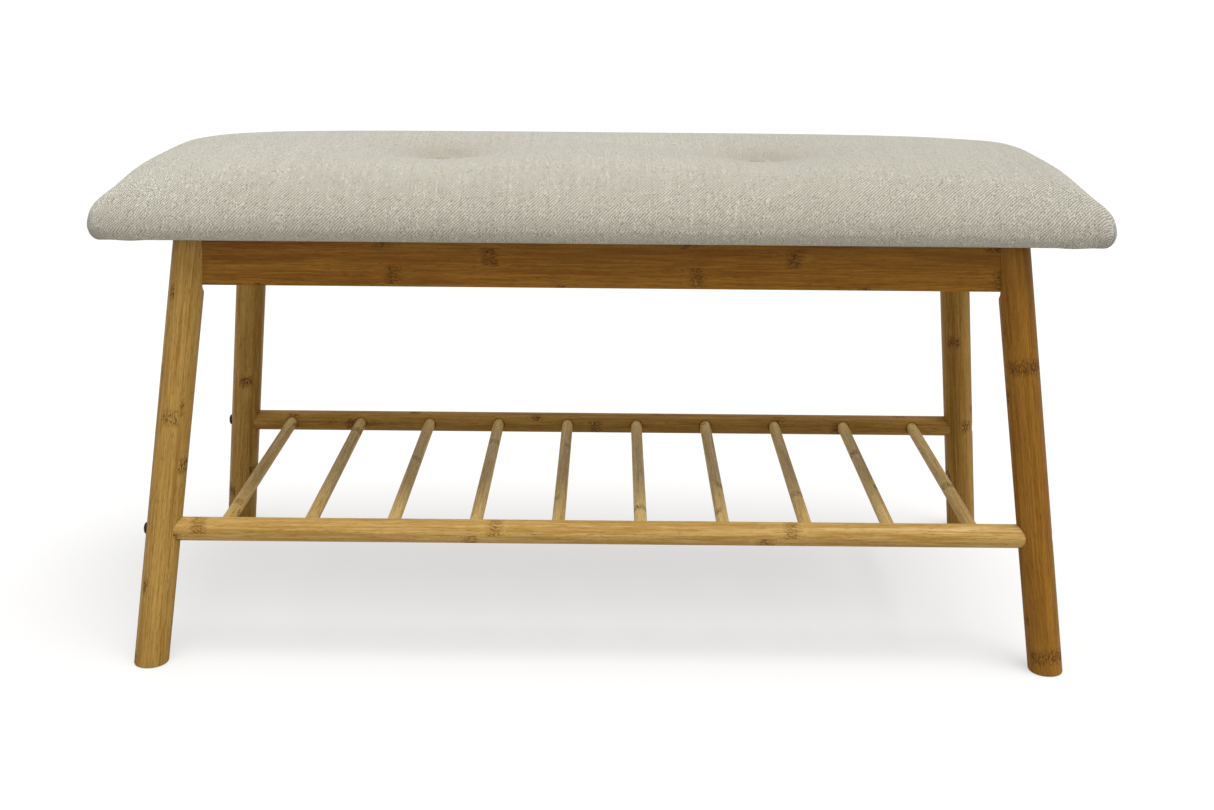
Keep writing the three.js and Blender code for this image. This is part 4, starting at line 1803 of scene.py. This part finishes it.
    def _swell(self, points: np.ndarray, faces: list[tuple[int, ...]]) -> np.ndarray:
        """Fills the cover with air pressure as a cloth, held at the hem and at the tufts.

        Args:
            points: the cover's starting places.
            faces: its faces.

        Returns:
            The swollen places.
        """
        bag = mesh_piece("swelling_cover", [Vector(p) for p in points], faces)
        face_up(bag)
        held = bag.vertex_groups.new(name="held")
        floor = self.low.z + self.held_height
        fixed = []
        for index, (x, y, z) in enumerate(points):
            near = min(math.hypot(x - t.x, y - t.y) for t in self.tufts.values())
            if z < floor or near < self.well_floor:
                fixed.append(index)
        held.add(fixed, 1.0, "REPLACE")
        scene = bpy.context.scene
        cloth = bag.modifiers.new("cloth", "CLOTH")
        cloth.settings.quality = 6
        cloth.settings.mass = 0.25
        cloth.settings.tension_stiffness = 18.0
        cloth.settings.compression_stiffness = 12.0
        cloth.settings.shear_stiffness = 8.0
        cloth.settings.bending_stiffness = 0.6
        cloth.settings.use_pressure = True
        cloth.settings.uniform_pressure_force = 4.0
        cloth.settings.vertex_group_mass = "held"
        cloth.settings.effector_weights.gravity = 0.0
        cloth.collision_settings.use_self_collision = False
        cloth.point_cache.frame_start = 1
        cloth.point_cache.frame_end = self.swell_frames
        for frame in range(1, self.swell_frames + 1):
            scene.frame_set(frame)
        graph = bpy.context.evaluated_depsgraph_get()
        moved = bag.evaluated_get(graph).to_mesh()
        swollen = np.zeros(len(points) * 3)
        moved.vertices.foreach_get("co", swollen)
        swollen = swollen.reshape(-1, 3)
        scene.frame_set(1)
        bpy.data.objects.remove(bag)
        shift = swollen - points
        shift[:, 2] = np.maximum(shift[:, 2], 0.0)  # the foam holds the cloth up
        size = np.linalg.norm(shift, axis=1)
        log.info("cover swells by %.1f mm at most, %.1f on average", size.max() / MM, size.mean() / MM)
        shift *= np.minimum(1.0, self.swell_cap / np.maximum(size, 1e-9))[:, None]
        return points + self._evened(shift) * self._held_down(points)[:, None]

    def _evened(self, shift: np.ndarray) -> np.ndarray:
        """Evens out how far the points move, as the foam under the cloth does.

        Args:
            shift: how far each point of the cover moves.

        Returns:
            The same, evened over the top, along its edge and down the sides to the hem.
        """
        rows, row = self.cells_deep + 1, self.cells_long + 1
        made = shift.copy()
        loop = self._outline()
        edge = made[loop]
        for _ in range(self.evening_rounds):
            edge = (np.roll(edge, 1, axis=0) + edge + np.roll(edge, -1, axis=0)) / 3
        made[loop] = edge
        top = made[: rows * row].reshape(rows, row, 3)
        for _ in range(self.evening_rounds):
            spread = top.copy()
            spread[1:-1, 1:-1] += top[:-2, 1:-1] + top[2:, 1:-1] + top[1:-1, :-2] + top[1:-1, 2:]
            spread[1:-1, 1:-1] /= 5
            top = spread
        made[: rows * row] = top.reshape(-1, 3)
        for ring in range(self.side_rings):
            first = rows * row + ring * len(loop)
            share = math.cos(math.pi / 2 * (ring + 1) / self.side_rings)
            made[first : first + len(loop)] = edge * share
        return made

    def _reach(self, places: np.ndarray) -> np.ndarray:
        """How far each point is from the nearer tuft, in plan."""
        return np.min(
            [np.hypot(places[:, 0] - t.x, places[:, 1] - t.y) for t in self.tufts.values()], axis=0
        )

    def _held_down(self, places: np.ndarray) -> np.ndarray:
        """How free each point is of the tufts: 0 under a button, 1 outside the wells."""
        reach = self._reach(places)
        free = np.clip((reach - self.well_floor) / (self.well_radius - self.well_floor), 0.0, 1.0)
        return free * free * (3 - 2 * free)

    def _crease(self, points: np.ndarray) -> np.ndarray:
        """Presses in the drag lines at the tufts and the small folds under the corners.

        Args:
            points: the cover's places.

        Returns:
            The places with creases.
        """
        made = points.copy()
        above = made[:, 2] > self.low.z + self.bulge_height
        for line in self.drag_lines:
            made[:, 2] -= np.where(above, self._drag(made, line), 0.0)
        made[:, 2] += np.where(above, self._fold(made), 0.0)
        edge = made[:, 2] < self.low.z + self.bulge_height * 0.8
        made[:, 2] -= np.where(edge, self._ripple(made), 0.0)
        return made

    def _drag(self, places: np.ndarray, line: DragLine) -> np.ndarray:
        """How deep one drag line is at each point.

        Args:
            places: the cover's places.
            line: the drag line.

        Returns:
            A depth for each point.
        """
        tuft = self.tufts[line.tuft]
        angle = math.radians(line.angle)
        away_x, away_y = places[:, 0] - tuft.x, places[:, 1] - tuft.y
        along = away_x * math.cos(angle) + away_y * math.sin(angle)
        aside = away_y * math.cos(angle) - away_x * math.sin(angle)
        start = self.well_floor
        run = np.clip((along - start) / (line.reach - start), 0.0, 1.0)
        fade = np.where(along > start, np.sin(math.pi * run**0.6) ** 1.2, 0.0)
        return line.depth * fade * np.exp(-((aside / line.width) ** 2))

    def _fold(self, places: np.ndarray) -> np.ndarray:
        """How high the raised fold beside the left tuft is at each point."""
        left = self.tufts[Side.LEFT]
        start, end = left.xy + Vector(self.fold_start), left.xy + Vector(self.fold_end)
        run = end - start
        along = ((places[:, :2] - start) @ run) / run.length_squared
        aside = ((places[:, :2] - start) @ run.orthogonal()) / run.length
        ridge = np.exp(-((aside / self.fold_width) ** 2))
        return self.fold_height * ridge * np.sin(math.pi * np.clip(along, 0.0, 1.0))

    def _ripple(self, places: np.ndarray) -> np.ndarray:
        """How deep the small folds of the hem are at each point, near the corners only."""
        reach = 3 * self.corner_radius
        corner_x = np.abs(places[:, 0]) - (self.half_length - reach)
        corner_y = np.abs(places[:, 1]) - (self.half_depth - reach)
        near = np.clip(np.minimum(corner_x, corner_y) / reach, 0.0, 1.0)
        bearing = np.arctan2(corner_y, corner_x)
        ripple = 0.5 - 0.5 * np.cos(bearing * self.ripple_turns)
        return self.ripple_depth * ripple * near

    def _foam(self, points: np.ndarray) -> None:
        """The foam: the cover's inside form, cut flat where it lies on the board."""
        row, rows = self.cells_long + 1, self.cells_deep + 1
        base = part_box("seat_foam")[0].z
        top = points[: row * rows].reshape(rows, row, 3)
        gradient_x = np.gradient(top, axis=1)
        gradient_y = np.gradient(top, axis=0)
        normal = np.cross(gradient_x, gradient_y)
        normal /= np.maximum(np.linalg.norm(normal, axis=2, keepdims=True), 1e-12)
        inner = top - normal * (self.cloth_thickness + self.foam_gap)
        inner[:, :, 2] = np.maximum(inner[:, :, 2], base + 0.5 * MM)
        spots = [Vector(p) for p in inner.reshape(-1, 3)]
        faces = grid_faces(row, rows)
        loop = self._outline()
        first = len(spots)
        spots += [Vector((spots[i].x, spots[i].y, base)) for i in loop]
        count = len(loop)
        for i in range(count):
            j = (i + 1) % count
            faces.append((loop[j], loop[i], first + i, first + j))
        faces.append(tuple(range(first, first + count)))
        foam = mesh_piece("seat_foam_block", spots, faces)
        smooth(foam, 50.0)
        dress(foam, self.finishes.foam)
        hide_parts("seat_foam")
        log.info("seat foam")

    def _cover(
        self, points: np.ndarray, faces: list[tuple[int, ...]], cloth: np.ndarray
    ) -> None:
        """The cloth cover as a thin closed shell, open under the board inside its hem."""
        cover = mesh_piece("seat_cover_cloth", [Vector(p) for p in points], faces)
        face_up(cover)
        mark_cloth(cover, cloth)
        # painted shade at the tufts, fading out with the distance from each tuft
        mark_hollow(cover, np.exp(-((self._reach(points) / (1.6 * self.well_radius)) ** 2)))
        finer = cover.modifiers.new("finer", "SUBSURF")
        finer.levels = 1
        finer.render_levels = 1
        shell = cover.modifiers.new("shell", "SOLIDIFY")
        shell.thickness = self.cloth_thickness
        shell.offset = -1.0
        apply_modifiers(cover)
        smooth(cover, 60.0)
        dress(cover, self.finishes.seat_cloth)
        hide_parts("seat_cover")
        log.info("seat cover, %d faces", len(cover.data.polygons))

    def _buttons(self) -> None:
        """The two cloth-covered buttons, each with its gathered edge."""
        for side in Side:
            node = f"tuft_button_{side.label}"
            low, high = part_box(node)
            centre = (low + high) / 2
            radius, height = (high.x - low.x) / 2, high.z - low.z
            axis = middle_axis(low, high, 2)
            profile = [(0.0, radius * 0.70), (0.06 * height, radius * 0.86)]
            for k in range(11):
                angle = math.pi / 2 * k / 10
                reach = radius * (0.04 + 0.96 * math.cos(angle) ** 0.8)
                profile.append((height * (0.25 + 0.75 * math.sin(angle)), reach))
            button = turned(f"{node}_cloth", axis, profile, 48)
            for vertex in button.data.vertices:
                place = axis.local(vertex.co)
                bearing = math.atan2(place.z, place.y)
                low_part = max(0.0, 1 - place.x / (0.5 * height))
                pull = self.gather_depth * low_part * math.cos(self.button_gathers * bearing)
                out = axis.across * math.cos(bearing) + axis.through * math.sin(bearing)
                vertex.co -= out * max(pull, 0.0)
            mark_cloth(button, np.array([v.co - centre for v in button.data.vertices]))
            # painted shade: the buttons sit deep in the wells and get nearly the full darkening
            mark_hollow(button, np.full(len(button.data.vertices), 0.9))
            smooth(button, 50.0)
            dress(button, self.finishes.seat_cloth)
            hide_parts(node)
        log.info("tuft buttons")

    def _lining(self) -> None:
        """The lining cloth, drawn tight between its staples."""
        low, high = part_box("underside_lining")
        columns, rows = 120, 40
        thickness, lift = 0.4 * MM, 0.3 * MM
        pucker_reach, wave_length, wave_height = 12 * MM, 40 * MM, 0.18 * MM
        points = []
        for j in range(rows + 1):
            for i in range(columns + 1):
                x = low.x + (high.x - low.x) * i / columns
                y = low.y + (high.y - low.y) * j / rows
                edge = min(x - low.x, high.x - x, y - low.y, high.y - y)
                pucker = wave_height * math.exp(-edge / pucker_reach)
                wave = math.sin(2 * math.pi * x / wave_length)
                wave *= math.sin(2 * math.pi * y / wave_length)
                points.append(Vector((x, y, low.z + lift + pucker * wave)))
        lining = mesh_piece("lining_sheet", points, grid_faces(columns + 1, rows + 1))
        mark_cloth(lining, np.array([v.co for v in lining.data.vertices]))
        shell = lining.modifiers.new("shell", "SOLIDIFY")
        shell.thickness = thickness
        shell.offset = 0.0
        apply_modifiers(lining)
        smooth(lining, 50.0)
        dress(lining, self.finishes.lining)
        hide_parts("underside_lining")
        log.info("lining")

    def _staple_spots(self, low: Vector, high: Vector) -> list[tuple[float, float, float]]:
        """Where the staples go: along the long edges, then along the short ones.

        Args:
            low: the lining's lowest corner.
            high: its highest corner.

        Returns:
            The plan place of each staple and the way it lies, in radians.
        """
        inset = 6 * MM
        half_x = (high.x - low.x) / 2 - inset
        half_y = (high.y - low.y) / 2 - inset
        spots: list[tuple[float, float, float]] = []
        for k in range(-9, 10):
            for side in (-1, 1):
                spots.append((k * half_x / 9.6, side * half_y, 0.0))
        for k in range(-2, 3):
            for side in (-1, 1):
                spots.append((side * half_x, k * half_y / 2.6, math.pi / 2))
        return spots

    def _staple(self, base: Vector, tilt: float, first: int) -> tuple[list[Vector], list[Any]]:
        """One staple: a flat wire that bends into the board at both ends.

        Args:
            base: the middle of its crown.
            tilt: the way it lies, in radians.
            first: the number of its first point.

        Returns:
            Its points and its faces.
        """
        run = Vector((math.cos(tilt), math.sin(tilt), 0.0))
        aside = Vector((-math.sin(tilt), math.cos(tilt), 0.0))
        half_width, wire = 0.55, 0.32
        outline = ((-5.2, 0.1), (-4.9, -0.35), (-4.5, -0.5), (4.5, -0.5), (4.9, -0.35), (5.2, 0.1))
        points: list[Vector] = []
        for along, drop in outline:
            for edge in (-half_width, half_width):
                spot = base + run * along * MM + aside * edge * MM + Z_AXIS * drop * MM
                points.append(spot)
                points.append(spot + Z_AXIS * wire * MM)
        faces: list[tuple[int, ...]] = []
        steps = len(outline)
        for k in range(steps - 1):
            a = first + 4 * k
            b = a + 4
            faces.append((a, b, b + 2, a + 2))
            faces.append((a + 1, a + 3, b + 3, b + 1))
            faces.append((a, a + 1, b + 1, b))
            faces.append((a + 2, b + 2, b + 3, a + 3))
        last = first + 4 * (steps - 1)
        faces.append((first, first + 2, first + 3, first + 1))
        faces.append((last, last + 1, last + 3, last + 2))
        return points, faces

    def _staples(self) -> None:
        """The wire staples that hold the lining and the hem to the board."""
        low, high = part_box("underside_lining")
        draw = random.Random(self.staple_seed)
        sway = 0.12
        points: list[Vector] = []
        faces: list[tuple[int, ...]] = []
        legs = [self.places.leg_at(c, low.z) for c in Corner]
        for x, y, turn in self._staple_spots(low, high):
            nearest = min(math.hypot(x - leg.x, y - leg.y) for leg in legs)
            if nearest < self.staple_clearance:
                continue
            tilt = turn + draw.uniform(-sway, sway)
            base = Vector((x, y, low.z - 0.02 * MM))
            wire_points, wire_faces = self._staple(base, tilt, len(points))
            points += wire_points
            faces += wire_faces
        staples = mesh_piece("lining_staples", points, faces)
        smooth(staples, 30.0)
        dress(staples, self.finishes.zinc)
        log.info("staples")

    def _carried_over(self) -> None:
        """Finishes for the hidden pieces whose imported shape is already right."""
        worn = {
            "seat_board": self.finishes.plywood,
            "tuft_twine_left": self.finishes.twine,
            "tuft_twine_right": self.finishes.twine,
            "tuft_washer_left": self.finishes.zinc,
            "tuft_washer_right": self.finishes.zinc,
        }
        for node, finish in worn.items():
            for slot in bpy.data.objects[node].material_slots:
                slot.material = finish
        log.info("board, twines and washers")


# ---- studio ----


@dataclass
class Studio:
    """The pale floor, the soft lights and the camera."""

    camera_place: Vector = field(default_factory=lambda: Vector((0.0087, -1.4905, 0.6529)))
    camera_yaw: float = math.radians(0.11)
    camera_pitch: float = math.radians(17.02)
    camera_roll: float = math.radians(-0.49)
    lens: float = 46.05
    floor_size: float = 60.0
    key_power: float = 2.3
    key_spread: float = math.radians(40.0)
    key_lean: tuple[float, float, float] = (math.radians(8.0), math.radians(12.0), 0.0)
    room_power: float = 0.62

    def build(self) -> None:
        """Sets the camera, the floor and the lights."""
        self._camera()
        self._floor()
        self._lights()
        log.info("studio")

    def _camera(self) -> None:
        """A level-headed camera a little above the seat, looking down at the bench."""
        yaw, pitch, roll = self.camera_yaw, self.camera_pitch, self.camera_roll
        ahead = Vector(
            (-math.sin(yaw) * math.cos(pitch), math.cos(yaw) * math.cos(pitch), -math.sin(pitch))
        )
        right = Vector((math.cos(yaw), math.sin(yaw), 0.0))
        down = ahead.cross(right)
        right_rolled = right * math.cos(roll) + down * math.sin(roll)
        down_rolled = down * math.cos(roll) - right * math.sin(roll)
        data = bpy.data.cameras.new("studio_camera")
        data.lens = self.lens
        data.sensor_width = 36.0
        data.clip_start = 0.05
        data.clip_end = 200.0
        camera = bpy.data.objects.new("studio_camera", data)
        bpy.context.scene.collection.objects.link(camera)
        turn = Matrix((right_rolled, -down_rolled, -ahead)).transposed().to_4x4()
        camera.matrix_world = Matrix.Translation(self.camera_place) @ turn
        bpy.context.scene.camera = camera

    def _floor(self) -> None:
        """A plain pale floor that reaches past the horizon, and throws little light back up."""
        half = self.floor_size / 2
        points = [Vector((x, y, 0.0)) for y in (-half, half) for x in (-half, half)]
        floor = mesh_piece("studio_floor", points, [(0, 1, 3, 2)])
        material = bpy.data.materials.new("studio_floor")
        material.use_nodes = True
        canvas = Canvas(material.node_tree)
        seen = material.node_tree.nodes["Principled BSDF"]
        seen.inputs["Base Color"].default_value = (0.40, 0.40, 0.40, 1.0)
        seen.inputs["Roughness"].default_value = 0.9
        seen.inputs["Specular IOR Level"].default_value = 0.0
        seen.inputs["Emission Color"].default_value = (1.0, 1.0, 1.0, 1.0)
        seen.inputs["Emission Strength"].default_value = 0.55
        thrown = canvas.add("ShaderNodeBsdfDiffuse", {"Color": (0.50, 0.485, 0.465)})
        choice = canvas.add(
            "ShaderNodeMixShader",
            {
                0: canvas.add("ShaderNodeLightPath").outputs["Is Camera Ray"],
                1: thrown.outputs[0],
                2: seen.outputs[0],
            },
        )
        # from underneath the floor doesn't hide the bench
        open_below = canvas.add(
            "ShaderNodeMixShader",
            {
                0: canvas.add("ShaderNodeNewGeometry").outputs["Backfacing"],
                1: choice.outputs[0],
                2: canvas.add("ShaderNodeBsdfTransparent").outputs[0],
            },
        )
        surface = material.node_tree.nodes["Material Output"].inputs["Surface"]
        canvas.feed(surface, open_below.outputs[0])
        floor.data.materials.append(material)

    def _lights(self) -> None:
        """One broad key from above and a little in front, and an even pale room."""
        key = bpy.data.lights.new("key", "SUN")
        key.energy = self.key_power
        key.angle = self.key_spread
        key.color = (1.0, 0.985, 0.955)
        lamp = bpy.data.objects.new("key", key)
        lamp.rotation_euler = self.key_lean
        bpy.context.scene.collection.objects.link(lamp)
        world = bpy.data.worlds.new("room")
        world.use_nodes = True
        canvas = Canvas(world.node_tree)
        back = world.node_tree.nodes["Background"]
        back.inputs[0].default_value = (1.0, 1.0, 1.0, 1.0)
        seen = canvas.add("ShaderNodeLightPath").outputs["Is Camera Ray"]
        canvas.feed(back.inputs[1], canvas.span(seen, 0.0, 1.0, (self.room_power, 1.0)))
        bpy.context.scene.world = world
        bpy.context.scene.view_settings.view_transform = "Standard"


def main() -> None:
    """Loads the fixed frame, then builds the studio and every sub-assembly around it."""
    logging.basicConfig(level=logging.INFO, format="%(name)s: %(message)s")
    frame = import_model()
    Studio().build()
    places = Places(frame["record"])
    finishes = Finishes(Effects())
    TuftedSeat(places, finishes).build()
    SplayedFrame(places, finishes).build()
    SlattedShelf(places, finishes).build()
    Fasteners(finishes).build()


if __name__ == "__main__":
    main()
